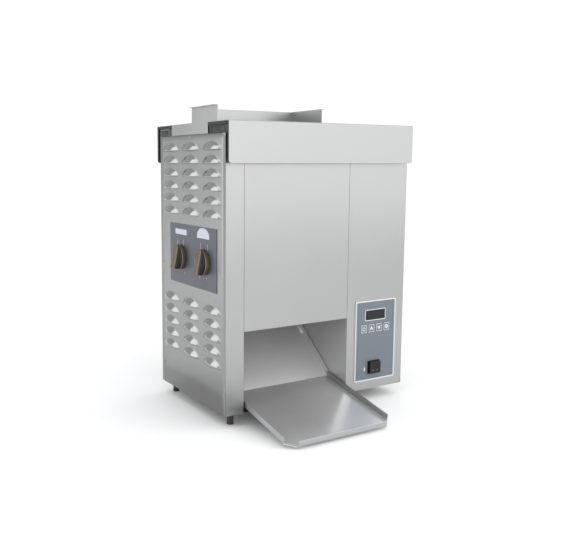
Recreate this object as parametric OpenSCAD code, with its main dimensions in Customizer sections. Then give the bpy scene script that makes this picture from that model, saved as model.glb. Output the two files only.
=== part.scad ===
// Vertical contact bun toaster. Buns drop through two slots in the hood, one each side of a
// heated platen, are carried down by two belts and leave by a slide over a tilted tray.
// Every piece is drawn from the lower left front corner of the casing (x right, y back, z up,
// z = 0 where the feet stand), and place() moves it to the middle of the whole machine.

/* [Casing] */
// Width of the casing
body_w = 436; // [380:1:560]
// Depth of the casing
body_d = 274; // [260:1:340]
// Height of the casing without feet and hood
body_h = 523.5; // [500:0.5:640]
// Sheet thickness of every folded panel
sheet = 1.2; // [0.8:0.1:2]
// Width of the left pillar and of the bay behind it
left_bay_w = 40; // [36:1:60]
// Width of the control cabinet on the right
right_bay_w = 151.2; // [145:0.1:220]
// Height of the discharge mouth above the underside of the casing
mouth_h = 157; // [140:1:190]
// Depth of the folded return flanges
flange_w = 13; // [12:0.5:20]
// Gap between neighbouring front panels
seam = 0.6; // [0.3:0.1:1.5]

/* [Louvres] */
// Length of one louvre along the panel
louvre_len = 70; // [50:1:76]
// Height of one louvre
louvre_h = 16.5; // [12:0.5:20]
// How far a louvre stands out
louvre_out = 7; // [4:0.5:9]
// Distance between rows
louvre_pitch = 25.3; // [22:0.1:28]
// Distance between columns
louvre_col = 87.3; // [80:0.1:95]
// Rows above the knobs
louvre_rows_top = 6; // [3:1:6]
// Rows below the knobs
louvre_rows_low = 5; // [3:1:5]

/* [Hood] */
// How far the hood stands proud of the front and the back
hood_proud = 14; // [10:1:20]
// How far the hood's skirt hangs below the side panels' tops
hood_skirt = 54; // [40:1:70]
// Height of the hood's top above the side panels
hood_rise = 22.2; // [20:0.2:30]
// How far the hood passes each side of the casing
hood_side = 0.6; // [0.2:0.1:2]
// Outer radius of the hood's long bends
hood_bend = 3; // [2:0.5:5]
// Thickness of the dark edge seal in each open end
hood_seal = 5; // [3:0.5:7]
// Length of the front spacer blocks, front to back
spacer_front_len = 72; // [50:1:74]
// Length of the rear spacer blocks, front to back
spacer_rear_len = 61; // [40:1:66]

/* [Feeder] */
// Height of the bun feeder above the hood
feeder_h = 29.3; // [20:0.1:60]
// Distance from the casing's left face to the feeder's right end
feeder_w = 236; // [230:1:240]
// Distance from the casing's front to the feeder's front edge
feeder_front = 29.5; // [20:0.5:50]
// Width of the folded rims on the feeder's end plates
feeder_rim = 5.5; // [3:0.5:8]

/* [Toasting] */
// Depth position of the platen's middle
platen_y = 129; // [127:1:134]
// Thickness of the platen over both faces
platen_t = 20; // [18:1:22]
// Height of the platen
platen_h = 285; // [260:1:300]
// Width of the platen
platen_w = 200; // [190:1:204]
// Height of the drive shafts above the underside of the casing
drive_up = 463; // [455:1:466]
// Distance between the drive shafts and the idler rollers
belt_run = 256; // [240:1:262]
// Radius of the belt rollers
roller_r = 16; // [14:0.5:17]
// Thickness of the belts
belt_t = 1; // [0.8:0.1:1.5]
// Module of the gears
gear_module = 3.5; // [3:0.1:3.6]
// Teeth on each drive gear
gear_teeth = 28; // [28:2:28]
// Teeth on the motor pinion
pinion_teeth = 16; // [16:2:16]
// Lift of the thickness cams, each way from the middle setting
cam_lift = 5.7; // [3:0.1:6]

/* [Discharge] */
// How far the tray reaches in front of the casing
tray_reach = 146.8; // [100:0.2:180]
// How far the tray passes back under the mouth
tray_inside = 57; // [50:1:60]
// Slope of the tray in degrees
tray_tilt = 11.4; // [8:0.1:12]
// Height of the tray's front underside above the table
tray_front_z = 5; // [4:0.5:12]
// Height of the tray's lips
tray_lip = 12; // [8:0.5:16]
// Cut-off at the tray's front corners
tray_chamfer = 18.7; // [10:0.1:30]
// Slope of the bun slide in degrees
slide_tilt = 39.5; // [37:0.5:42]
// Height of the slide's lips
slide_lip = 11; // [8:0.5:14]

/* [Controls] */
// Width of the control overlay's frame
panel_w = 108.1; // [100:0.1:112]
// Height of the control overlay's frame
panel_h = 169.8; // [165:0.1:180]
// Height of the overlay frame's lower edge above the underside of the casing
panel_up = 18.2; // [12:0.1:40]
// Distance between the keys' middles
key_pitch = 20.3; // [18:0.1:22]
// Key travel
key_travel = 0.6; // [0.3:0.1:0.7]
// Diameter of the adjusting knobs
knob_d = 47; // [40:1:50]
// Height of the knob shafts above the underside of the casing
knob_up = 281.5; // [278:0.5:285]

/* [Feet] */
// Height of the feet
foot_h = 25; // [20:1:40]
// Distance of the left feet from the left face
foot_in = 24.5; // [20:0.5:30]

/* [Fits] */
// Radial clearance of shafts in bushes
run_gap = 0.05; // [0.02:0.01:0.1]
// Clearance around pieces that slide or lift
slip_gap = 0.3; // [0.2:0.05:0.5]

/* [Hidden] */
$fn = 48;

// levels and planes of the casing
floor_z = foot_h;
side_top = floor_z + body_h;
hood_top = side_top + hood_rise;
hood_low = side_top - hood_skirt;
feeder_top = hood_top + feeder_h;
mouth_top = floor_z + mouth_h;
wall_l = left_bay_w;                    // toasting-side face of the left inner wall
wall_r = body_w - right_bay_w;          // toasting-side face of the right inner wall
back_y = body_d - sheet;                // inner face of the rear panel
hood_front = -hood_proud;
hood_back = body_d + hood_proud;
cabinet_mid = (wall_r + body_w) / 2;

// the middle of the whole machine, which is the origin
knob_reach = 22.5;
front_reach = tray_reach + tray_lip * sin(tray_tilt);
mid_x = (body_w + louvre_out - knob_reach) / 2;
mid_y = (hood_back - front_reach) / 2;

// screws that hold the side panels
screw_r = 1.5;
screw_hole_r = 1.6;
screw_head_r = 2.2;
screw_head_h = 1.1;
screw_len = 5;
flange_mid = flange_w / 2;
screw_mid_y = body_d / 2 + 1.5;
side_screws = [
  for (z = [floor_z + 39.5, floor_z + 263, side_top - 37.5], y = [flange_mid, body_d - flange_mid]) [y, z],
  [screw_mid_y, side_top - 4.5],
  [screw_mid_y, floor_z + 6.5]];

// belts, rollers, platen and gears, from left to right
roller_gap = 15.5;                      // from the left inner wall to the roller
roller_x0 = wall_l + roller_gap;
roller_x1 = roller_x0 + platen_w - 11;
plate_t = 1.5;
plate_gap = 2;
drive_z = floor_z + drive_up;
idle_z = drive_z - belt_run;
knob_z = floor_z + knob_up;
gear_pitch_r = gear_module * gear_teeth / 2;
pinion_pitch_r = gear_module * pinion_teeth / 2;
crown_y = platen_y - gear_pitch_r;
heel_y = platen_y + gear_pitch_r;
pinion_z = drive_z - gear_pitch_r - pinion_pitch_r;
belt_gap = 0.3;
belt_r = roller_r + belt_gap + belt_t;
shaft_r = 6;
idle_r = 5;
gear_x = wall_r + 5.2;
gear_w = 10;
platen_x0 = wall_l + 10;
platen_z1 = drive_z + 12;
platen_z0 = platen_z1 - platen_h;
platen_skin = 3;

// cams
cam_shaft_r = 3;
cam_r = 14;
cam_swing = 135;                        // knob travel each way, degrees
cam_slope = cam_lift / cam_swing;       // millimetres of radius per degree
cam_x0 = wall_l + 4.5;
cam_x1 = wall_l + 10;
pad_gap = 0.8;

// tray and slide
tray_gap = 2.6;
tray_x0 = wall_l + tray_gap;
tray_x1 = wall_r - tray_gap;
tray_len = (tray_reach + tray_inside) / cos(tray_tilt);
slide_gap = 1.3;
slide_y = tray_inside + 0.8;
slide_z = tray_front_z + (tray_reach + tray_inside) * tan(tray_tilt) + 0.8;
slide_len = 226;
slide_lip_from = 8;

// control panel, as x and z ranges
panel_x0 = cabinet_mid - panel_w / 2 + 0.4;
panel_z0 = floor_z + panel_up;
rim_w = 2.8;
rim_t = 1.5;
overlay_t = 0.8;
window_x = [panel_x0 + 27.3, panel_x0 + 79.3];
window_z = [panel_z0 + 128.8, panel_z0 + 148.8];
key_size = [15.5, 17];
key_x0 = panel_x0 + 22.7;
key_z = panel_z0 + 110.8;
switch_x = panel_x0 + 51;
switch_z = panel_z0 + 27.8;
board_y = 9;

// fan
fan_x = cabinet_mid + 12;
fan_z = floor_z + 275;
fan_size = 80;
fan_depth = 25;
fan_y = back_y - 1 - fan_depth;

steel = [0.80, 0.80, 0.81];
steel_dark = [0.62, 0.63, 0.64];
black = [0.10, 0.10, 0.10];
slate = [0.43, 0.45, 0.49];
blue_grey = [0.51, 0.54, 0.57];

// moves a piece from the casing's corner to the machine's middle
module place() {
  translate([-mid_x, -mid_y, 0]) children();
}

// a box between two limits on each axis
module box(x, y, z) {
  translate([x[0], y[0], z[0]]) cube([x[1] - x[0], y[1] - y[0], z[1] - z[0]]);
}

// a round bar along x, y or z
module bar_x(x, y, z, r) {
  translate([x[0], y, z]) rotate([0, 90, 0]) cylinder(r = r, h = x[1] - x[0]);
}
module bar_y(x, y, z, r) {
  translate([x, y[0], z]) rotate([-90, 0, 0]) cylinder(r = r, h = y[1] - y[0]);
}
module bar_z(x, y, z, r) {
  translate([x, y, z[0]]) cylinder(r = r, h = z[1] - z[0]);
}

// an outline in y and z, carried along x
module along_x(x) {
  translate([x[0], 0, 0]) rotate([90, 0, 90]) linear_extrude(x[1] - x[0]) children();
}

// an outline in x and z, carried along y
module along_y(y) {
  translate([0, y[1], 0]) rotate([90, 0, 0]) linear_extrude(y[1] - y[0]) children();
}

// a flat ring with two round ends, upright, between two heights
module stadium(y, z, r) {
  for (end = z) translate([y, end]) circle(r = r);
  translate([y - r, z[0]]) square([2 * r, z[1] - z[0]]);
}

// the holes that the side panels' screws pass, on the left or the right
module side_screw_holes(x) {
  for (s = side_screws) bar_x(x, s[0], s[1], screw_hole_r);
}

// both sides' holes
module screw_clearance() {
  side_screw_holes([-1, 6]);
  side_screw_holes([body_w - 6, body_w + 1]);
}

// ---- casing ----

module base_pan() {
  color(steel_dark) place() difference() {
    union() {
      box([sheet, body_w - sheet], [sheet + 0.2, back_y], [floor_z, floor_z + sheet]);
      for (x = [sheet, body_w - 2 * sheet])
        box([x, x + sheet], [flange_w + 0.5, back_y - flange_w - 0.5], [floor_z, floor_z + 12]);
    }
    screw_clearance();
    for (p = foot_places) bar_z(p[0], p[1], [floor_z - 1, floor_z + 3], 3.2);
  }
}

// louvre centres: [y, lower edge]
louvre_mid_y = body_d / 2 + 1.2;
louvre_top_z = side_top - 29.5;
louvre_low_z = floor_z + 186.8;
louvres = [
  for (c = [-1:1], r = [0:louvre_rows_top - 1]) [louvre_mid_y + c * louvre_col, louvre_top_z - r * louvre_pitch],
  for (c = [-1:1], r = [0:louvre_rows_low - 1]) [louvre_mid_y + c * louvre_col, louvre_low_z - r * louvre_pitch]];
louvre_radius = (louvre_len * louvre_len / 4 + louvre_out * louvre_out) / (2 * louvre_out);
louvre_axis = louvre_radius - louvre_out;
louvre_sweep = 2 * asin(louvre_len / 2 / louvre_radius) + 4;
louvre_tip = 0.35;                      // keeps the domes' top edges off the panel's own faces

// one dome turned about an upright axis behind the panel, open at its lower edge; tip moves its top edge
module louvre_turn(out, high, low, deep, tip) {
  translate([louvre_axis, 0, 0]) rotate([0, 0, 180 - louvre_sweep / 2])
    rotate_extrude(angle = louvre_sweep, $fn = 128)
      polygon([
        [louvre_axis - deep, low],
        for (t = [0:22.5:90]) [louvre_axis + out * cos(t) + tip * sin(t), t == 0 ? low : high * sin(t)],
        [louvre_axis - deep, high]]);
}

// a louvred side panel, standing on x = 0 and bulging towards -x
module louvred_side(shafts) {
  difference() {
    union() {
      box([0, sheet], [0, body_d], [floor_z, side_top]);
      intersection() {
        for (l = louvres) translate([0, l[0], l[1]]) louvre_turn(louvre_out, louvre_h, 0, sheet, -louvre_tip);
        box([-louvre_out - 1, sheet / 2], [0, body_d], [floor_z, side_top]);
      }
    }
    for (l = louvres) translate([0, l[0], l[1]])
      louvre_turn(louvre_out - sheet, louvre_h - sheet, -0.4, sheet + 0.1, louvre_tip);
    side_screw_holes([-1, 6]);
    if (shafts) for (y = [crown_y, heel_y]) bar_x([-1, 6], y, knob_z, bush_r);
  }
}

module left_side_panel() {
  color(steel_dark) place() louvred_side(true);
}

module right_side_panel() {
  color(steel_dark) place() translate([body_w, 0, 0]) mirror([1, 0, 0]) louvred_side(false);
}

module left_pillar() {
  color(steel) place() difference() {
    union() {
      box([sheet, wall_l - seam / 2], [0, sheet], [floor_z, side_top]);
      box([sheet, 2 * sheet], [0, flange_w], [floor_z + sheet, side_top]);
      box([wall_l - seam / 2 - sheet, wall_l - seam / 2], [0, flange_w], [floor_z + sheet, side_top]);
    }
    screw_clearance();
  }
}

module front_panel() {
  x0 = wall_l + seam / 2;
  x1 = wall_r - seam / 2;
  color(steel) place() {
    box([x0, x1], [0, sheet], [mouth_top, side_top]);
    box([x0, x1], [0, flange_w - 3], [mouth_top, mouth_top + sheet]);
    for (x = [x0, x1 - sheet]) box([x, x + sheet], [0, flange_w - 3], [mouth_top, side_top]);
  }
}

module cabinet_front() {
  color(steel) place() difference() {
    union() {
      box([wall_r + seam / 2, body_w - sheet], [0, sheet], [floor_z, side_top]);
      box([body_w - 2 * sheet, body_w - sheet], [0, flange_w], [floor_z + sheet, side_top]);
    }
    screw_clearance();
    box([window_x[0] + 3, window_x[1] - 3], [-1, 3], [window_z[0] + 3, window_z[1] - 3]);
    for (i = [0:3]) key_hole(i);
    switch_hole();
  }
}

// vent slots that fill a circle in front of the fan
module fan_slots(y) {
  vent_r = 36;
  for (dz = [-30:7.5:30]) {
    half = sqrt(vent_r * vent_r - dz * dz);
    box([fan_x - half, fan_x + half], y, [fan_z + dz - 1.8, fan_z + dz + 1.8]);
  }
}

module rear_panel() {
  color(steel) place() difference() {
    union() {
      box([sheet, body_w - sheet], [back_y, body_d], [floor_z, side_top]);
      for (x = [sheet, body_w - 2 * sheet])
        box([x, x + sheet], [back_y - flange_w + sheet, body_d], [floor_z + sheet, side_top]);
    }
    screw_clearance();
    fan_slots([back_y - 1, body_d + 1]);
    bar_y(gland_x, [back_y - 1, body_d + 1], gland_z, gland_r);
  }
}

// bearing and bush sizes
bush_r = 5;
bearing_r = 9;

module inner_wall_left() {
  color(steel_dark) place() difference() {
    union() {
      box([wall_l - sheet, wall_l], [flange_w + 0.2, back_y - 0.2], [floor_z + sheet, side_top - 0.5]);
      box([2 * sheet, wall_l], [flange_w + 0.2, back_y - flange_w], [side_top - 0.5 - sheet, side_top - 0.5]);
      box([sheet, 2 * sheet], [screw_mid_y - 25, screw_mid_y + 25], [side_top - 11, side_top - 0.5]);
    }
    screw_clearance();
    for (y = [crown_y, heel_y]) {
      bar_x([wall_l - 3, wall_l + 1], y, drive_z, bearing_r);
      bar_x([wall_l - 3, wall_l + 1], y, knob_z, bush_r);
    }
  }
}

module inner_wall_right() {
  top = side_top - 0.5;
  color(steel_dark) place() difference() {
    union() {
      box([wall_r, wall_r + sheet], [sheet, back_y - 0.2], [floor_z + sheet, top]);
      box([wall_r + seam, wall_r + 14], [sheet, 2 * sheet], [floor_z + sheet, top]);
      box([wall_r, body_w - 2 * sheet], [flange_w + 0.2, back_y - flange_w], [top - sheet, top]);
      box([body_w - 2 * sheet, body_w - sheet], [screw_mid_y - 25, screw_mid_y + 25], [side_top - 11, top]);
    }
    screw_clearance();
    for (y = [crown_y, heel_y]) bar_x([wall_r - 1, wall_r + 3], y, drive_z, bearing_r);
    for (z = element_zs) bar_x([wall_r - 1, wall_r + 3], platen_y, z, 6);
  }
}

// a pan-head screw, head outwards
module side_screw() {
  rotate([0, 90, 0]) cylinder(r = screw_r, h = screw_len);
  rotate([0, -90, 0]) cylinder(r1 = screw_head_r, r2 = screw_head_r - 0.6, h = screw_head_h);
}

module case_screws() {
  color("silver") place() {
    for (s = side_screws) translate([0, s[0], s[1]]) side_screw();
    for (s = side_screws) translate([body_w, s[0], s[1]]) mirror([1, 0, 0]) side_screw();
  }
}

foot_front_y = 24;
foot_back_y = body_d - 16;
foot_right_x = wall_r + 7;
foot_places = [for (x = [foot_in, foot_right_x], y = [foot_front_y, foot_back_y]) [x, y]];

module feet() {
  color(black) place() for (p = foot_places) {
    translate([p[0], p[1], 0]) cylinder(r1 = 6.7, r2 = 6, h = foot_h);
    bar_z(p[0], p[1], [foot_h, foot_h + 6], 3);
  }
}

gland_x = body_w - 36;
gland_z = floor_z + 35;
gland_r = 8;

module cable_gland() {
  bore_r = 4;
  color(black) place() difference() {
    union() {
      bar_y(gland_x, [back_y - 8, body_d + 4], gland_z, gland_r);
      bar_y(gland_x, [back_y - 6, back_y], gland_z, 11);
      bar_y(gland_x, [body_d, body_d + 4], gland_z, 11);
      translate([gland_x, body_d + 4, gland_z]) rotate([-90, 0, 0]) cylinder(r1 = 9, r2 = 6.5, h = 9);
    }
    bar_y(gland_x, [back_y - 9, body_d + 14], gland_z, bore_r);
  }
}

// ---- hood, feeder and their trim ----

// the hood's cross-section: an inverted U with rounded long bends and turned-in lower edges
module hood_outline(inset) {
  r = hood_bend - inset;
  for (y = [hood_front + hood_bend, hood_back - hood_bend]) translate([y, hood_top - hood_bend]) circle(r = r);
  translate([hood_front + hood_bend, hood_low - 1])
    square([hood_back - hood_front - 2 * hood_bend, hood_top - inset - hood_low + 1]);
  translate([hood_front + inset, hood_low - 1])
    square([hood_back - hood_front - 2 * inset, hood_top - hood_bend - hood_low + 1]);
}

slot_x = [wall_l + 4, feeder_w - 4];
slot_w = 22;
slot_off = 21;                          // slot's middle from the platen's middle
notch_y = [spacer_front_len + hood_front + 7.5, hood_back - spacer_rear_len - 7.5];

module hood() {
  x = [-hood_side, body_w + hood_side];
  lip = 8;
  corner = 5;
  color(steel) place() difference() {
    union() {
      along_x(x) difference() {
        hood_outline(0);
        hood_outline(sheet);
        translate([hood_front - 1, hood_low - 2]) square([hood_back - hood_front + 2, 2]);
      }
      box([x[0] + 6, x[1] - 6], [hood_front + sheet / 2, hood_front + lip], [hood_low, hood_low + sheet]);
      box([x[0] + 6, x[1] - 6], [hood_back - lip, hood_back - sheet / 2], [hood_low, hood_low + sheet]);
    }
    for (side = [-1, 1])
      box(slot_x, [platen_y + side * slot_off - slot_w / 2, platen_y + side * slot_off + slot_w / 2],
        [hood_top - 4, hood_top + 1]);
    box([x[0] - 1, 2.6], notch_y, [hood_top - 4, hood_top + 1]);
    for (y = [[hood_front - 1, hood_front + sheet + 1], [hood_back - sheet - 1, hood_back + 1]])
      for (end = [0, 1]) translate([end * body_w, 0, 0]) mirror([end, 0, 0]) difference() {
        box([-hood_side - 1, corner - hood_side], y, [hood_low - 1, hood_low + corner]);
        bar_y(corner - hood_side, [y[0] - 1, y[1] + 1], hood_low + corner, corner);
      }
  }
}

// dark edge seals that line both open ends of the hood
module hood_end_seals() {
  y0 = hood_front + sheet + 0.1;
  y1 = hood_back - sheet - 0.1;
  top = hood_top - sheet - 0.1;
  deep = 10;
  low = hood_low + sheet + 0.3;
  color(black) place() for (x0 = [-hood_side + 0.2, body_w + hood_side - 0.2 - deep]) {
    x = [x0, x0 + deep];
    box(x, [y0, y0 + hood_seal], [low, top - 2]);
    box(x, [y1 - hood_seal, y1], [low, top - 2]);
    box(x, [y0 + 2, notch_y[0] - 0.6], [top - hood_seal, top]);
    box(x, [notch_y[1] + 0.6, y1 - 2], [top - hood_seal, top]);
  }
}

// a moulded block that carries the hood on the side panels
module spacer_block(y) {
  z = [side_top + 0.3, hood_top - sheet - hood_seal - 0.2];
  for (x0 = [0.4, body_w - 0.4 - 18]) difference() {
    box([x0, x0 + 18], y, z);
    box([x0 + 6, x0 + 12], [y[0] + 6, y[1] - 6], [z[0] - 1, z[1] - 3]);
  }
}

module hood_spacers_front() {
  color(black) place() spacer_block([hood_front + sheet + hood_seal + 0.3, notch_y[0] - 1]);
}

module hood_spacers_rear() {
  color(black) place() spacer_block([notch_y[1] + 1, hood_back - sheet - hood_seal - 0.3]);
}

module bun_feeder() {
  end_x = sheet + 0.2;
  foot_w = 10;
  rest = hood_top + 0.2;
  back = [platen_y + 1 - sheet / 2, platen_y + 1 + sheet / 2];
  color(steel) place() {
    box([0.2, end_x], [notch_y[0] + slip_gap, notch_y[1] - slip_gap], [side_top + 0.5, rest]);
    box([0.2, end_x], [feeder_front, back[1]], [rest, feeder_top]);
    box([0.2 - feeder_rim, end_x], [feeder_front, back[1]], [feeder_top - sheet, feeder_top]);
    box([feeder_w - sheet, feeder_w], [feeder_front, back[1]], [rest, feeder_top]);
    box([feeder_w - sheet, feeder_w + feeder_rim], [feeder_front, back[1]], [feeder_top - sheet, feeder_top]);
    box([feeder_w - sheet, feeder_w + foot_w], [feeder_front - 20, back[1]], [rest, rest + sheet]);
    box([end_x - 0.1, feeder_w - sheet], back, [rest, feeder_top - 0.6]);
  }
}

// ---- discharge ----

// the frame that the tray is folded in: x right, y up the slope, z square to it
module on_tray() {
  translate([0, -tray_reach, tray_front_z]) rotate([tray_tilt, 0, 0]) children();
}

module landing_tray() {
  color(steel_dark) place() on_tray() {
    linear_extrude(sheet) polygon([
      [tray_x0 + tray_chamfer, 0], [tray_x1 - tray_chamfer, 0],
      [tray_x1, tray_chamfer], [tray_x1, tray_len], [tray_x0, tray_len], [tray_x0, tray_chamfer]]);
    for (x = [tray_x0, tray_x1 - sheet]) box([x, x + sheet], [tray_chamfer, tray_len], [0, tray_lip]);
    box([tray_x0 + tray_chamfer, tray_x1 - tray_chamfer], [0, sheet], [0, tray_lip]);
  }
}

// height of the tray's underside at a depth
function tray_under(y) = tray_front_z + (y + tray_reach) * tan(tray_tilt);

module tray_supports() {
  y = [16, tray_inside - 4];
  low = floor_z + sheet;
  color(steel_dark) place() for (x = [tray_x0 + 30, tray_x1 - 33]) along_x([x, x + 3])
    polygon([[y[0], low], [y[1], low], [y[1], tray_under(y[1]) - 0.1], [y[0], tray_under(y[0]) - 0.1]]);
}

// the frame of the slide: x right, y up the slope, z square to it
module on_slide() {
  translate([0, slide_y, slide_z]) rotate([slide_tilt, 0, 0]) children();
}

module bun_slide() {
  x0 = wall_l + slide_gap;
  x1 = wall_r - slide_gap;
  end_y = slide_y + slide_len * cos(slide_tilt);
  end_z = slide_z + slide_len * sin(slide_tilt);
  color(steel_dark) place() {
    on_slide() {
      box([x0, x1], [0, slide_len], [0, sheet]);
      for (x = [x0, x1 - sheet]) box([x, x + sheet], [slide_lip_from, slide_len], [0, slide_lip]);
    }
    box([x0, x1], [end_y - sheet, end_y], [end_z, end_z + 14]);
  }
}

module slide_clip() {
  x1 = wall_r - slide_gap - sheet - 0.3;
  y = [116, 136];
  color("whitesmoke") place() on_slide() {
    box([x1 - 7, x1], y, [sheet + 3, sheet + 4.2]);
    box([x1 - 7, x1], [y[1] - 1.5, y[1]], [sheet, sheet + 4.2]);
  }
}

// ---- controls ----

// a rounded-corner plate on the cabinet's front, from y[0] to y[1]
module soft_plate(x, z, y, r) {
  along_y(y) {
    for (cx = [x[0] + r, x[1] - r], cz = [z[0] + r, z[1] - r]) translate([cx, cz]) circle(r = r);
    translate([x[0] + r, z[0]]) square([x[1] - x[0] - 2 * r, z[1] - z[0]]);
    translate([x[0], z[0] + r]) square([x[1] - x[0], z[1] - z[0] - 2 * r]);
  }
}

module panel_frame() {
  x = [panel_x0, panel_x0 + panel_w];
  z = [panel_z0, panel_z0 + panel_h];
  color("gainsboro") place() difference() {
    soft_plate(x, z, [-rim_t, 0], 3);
    soft_plate([x[0] + rim_w, x[1] - rim_w], [z[0] + rim_w, z[1] - rim_w], [-rim_t - 1, 1], 1.5);
  }
}

// the middle of key i
function key_x(i) = key_x0 + i * key_pitch;

module key_hole(i) {
  gap = slip_gap;
  x = [key_x(i) - key_size[0] / 2 - gap, key_x(i) + key_size[0] / 2 + gap];
  z = [key_z - key_size[1] / 2 - gap, key_z + key_size[1] / 2 + gap];
  soft_plate(x, z, [-2, 3], 1.5 + gap);
}

// switch sizes, as half widths in x and half heights in z
switch_rim = [15.75, 14];
switch_case = [13, 12];
switch_well = [11.6, 10.4];
rocker_cap = [14.4, 12.8];
rocker_stem = [10.5, 10];
rocker_pivot_y = 1;
rocker_pin_r = 1.5;

module switch_block(half, y) {
  box([switch_x - half[0], switch_x + half[0]], y, [switch_z - half[1], switch_z + half[1]]);
}

module switch_hole() {
  switch_block(switch_case + [0.3, 0.3], [-2, 3]);
}

module panel_overlay() {
  x = [panel_x0 + rim_w + 0.1, panel_x0 + panel_w - rim_w - 0.1];
  z = [panel_z0 + rim_w + 0.1, panel_z0 + panel_h - rim_w - 0.1];
  color(blue_grey) place() difference() {
    soft_plate(x, z, [-overlay_t, 0], 1.4);
    box(window_x, [-2, 1], window_z);
    for (i = [0:3]) key_hole(i);
    switch_hole();
  }
}

module display_window() {
  color("dimgray") place()
    box([window_x[0] + 0.1, window_x[1] - 0.1], [-overlay_t - 0.3, 0], [window_z[0] + 0.1, window_z[1] - 0.1]);
}

module display_board() {
  x = [key_x(0) - 12, key_x(3) + 12];
  z = [key_z - 14, window_z[1] + 6];
  color("darkgreen") place() {
    box(x, [board_y, board_y + 1.6], z);
    box([window_x[0] + 1.5, window_x[1] - 1.5], [sheet + 0.2, board_y], [window_z[0] + 1.5, window_z[1] - 1.5]);
    for (i = [0:3]) box([key_x(i) - 3, key_x(i) + 3], [board_y - 3.6, board_y], [key_z - 3, key_z + 3]);
    for (px = [x[0] + 3, x[1] - 3], pz = [z[0] + 3, z[1] - 3]) bar_y(px, [sheet, board_y], pz, 2.5);
  }
}

module key(i) {
  x = [key_x(i) - key_size[0] / 2, key_x(i) + key_size[0] / 2];
  z = [key_z - key_size[1] / 2, key_z + key_size[1] / 2];
  soft_plate(x, z, [-overlay_t - 0.7, 0.9], 1.5);
  bar_y(key_x(i), [0.9, board_y - 3.6 - key_travel - 0.2], key_z, 2);
}

module key_mode() {
  color(blue_grey) place() key(0);
}

module key_up() {
  color(blue_grey) place() key(1);
}

module key_down() {
  color(blue_grey) place() key(2);
}

module key_start() {
  color(blue_grey) place() key(3);
}

module switch_housing() {
  color(black) place() difference() {
    union() {
      switch_block(switch_rim, [-2.4, -overlay_t]);
      switch_block(switch_case, [-2.4, 24]);
      for (x = [-6, 6], z = [-5, 5]) box([switch_x + x - 0.4, switch_x + x + 0.4], [24, 31], [switch_z + z - 3, switch_z + z + 3]);
    }
    switch_block(switch_well, [-3, 8]);
    bar_z(switch_x, rocker_pivot_y, [switch_z - 11.6, switch_z + 11.6], rocker_pin_r + run_gap);
  }
}

module switch_rocker() {
  color(black) place() {
    soft_plate([switch_x - rocker_cap[0], switch_x + rocker_cap[0]],
      [switch_z - rocker_cap[1], switch_z + rocker_cap[1]], [-8, -4.8], 3);
    switch_block(rocker_stem, [-4.8, 4]);
    bar_z(switch_x, rocker_pivot_y, [switch_z - 11.4, switch_z + 11.4], rocker_pin_r);
  }
}

plate_x = -1;                           // outer face of the knob plate

module knob_plate() {
  y = [crown_y - 49, heel_y + 49.3];
  z = [knob_z - 54, knob_z + 66.7];
  color(slate) place() difference() {
    box([plate_x, 0], y, z);
    for (ky = [crown_y, heel_y]) bar_x([plate_x - 1, 1], ky, knob_z, bush_r);
  }
}

// a knob: a thin skirt, and a wedge-shaped bar that deepens away from its pointer
module knob(y) {
  r = knob_d / 2;
  base = plate_x - 0.5;
  skirt = 4.5;
  half = 7.5;
  translate([0, y, knob_z]) difference() {
    union() {
      translate([base, 0, 0]) rotate([0, -90, 0]) cylinder(r1 = r, r2 = r - 1.5, h = skirt);
      intersection() {
        translate([0, half, 0]) rotate([90, 0, 0]) linear_extrude(2 * half) polygon([
          [base - skirt + 0.5, r - 2], [base - skirt - 6.5, r - 2], [-knob_reach, 4 - r],
          [-knob_reach + 3, 2 - r], [base - skirt + 0.5, 2 - r]]);
        bar_x([-knob_reach - 1, 0], 0, 0, r - 1.5);
      }
    }
    bar_x([-12, 0], 0, 0, cam_shaft_r);
  }
}

module crown_knob() {
  color([0.45, 0.41, 0.35]) place() knob(crown_y);
}

module heel_knob() {
  color([0.45, 0.41, 0.35]) place() knob(heel_y);
}

// a snail cam on its shaft; the radius falls evenly with the angle from +y towards +z
module cam_shaft(y, flip) {
  cut = cam_swing + 15;
  translate([0, y, knob_z]) {
    bar_x([-12, cam_x1], 0, 0, cam_shaft_r);
    mirror([0, flip, 0]) along_x([cam_x0, cam_x1])
      polygon([for (a = [-cut:7.5:cut]) (cam_r - cam_slope * a) * [cos(a), sin(a)]]);
  }
}

module crown_cam_shaft() {
  color("silver") place() cam_shaft(crown_y, 0);
}

module heel_cam_shaft() {
  color("silver") place() cam_shaft(heel_y, 1);
}

// a flanged bush along x: a sleeve through the sheet, with its flange on one side
module bush(sleeve, flange, y, z, outer, rim, inner) {
  difference() {
    union() {
      bar_x(sleeve, y, z, outer);
      bar_x(flange, y, z, rim);
    }
    bar_x([sleeve[0] - 1, sleeve[1] + 1], y, z, inner);
  }
}

module cam_bushes() {
  color("ivory") place() for (y = [crown_y, heel_y]) {
    bush([plate_x + 0.1, 5], [sheet, sheet + 1.6], y, knob_z, bush_r - 0.02, 7.5, cam_shaft_r + run_gap);
    bush([wall_l - 5, wall_l], [wall_l - sheet - 1.6, wall_l - sheet], y, knob_z, bush_r - 0.02, 7.5,
      cam_shaft_r + run_gap);
  }
}

// ---- belts ----

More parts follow.
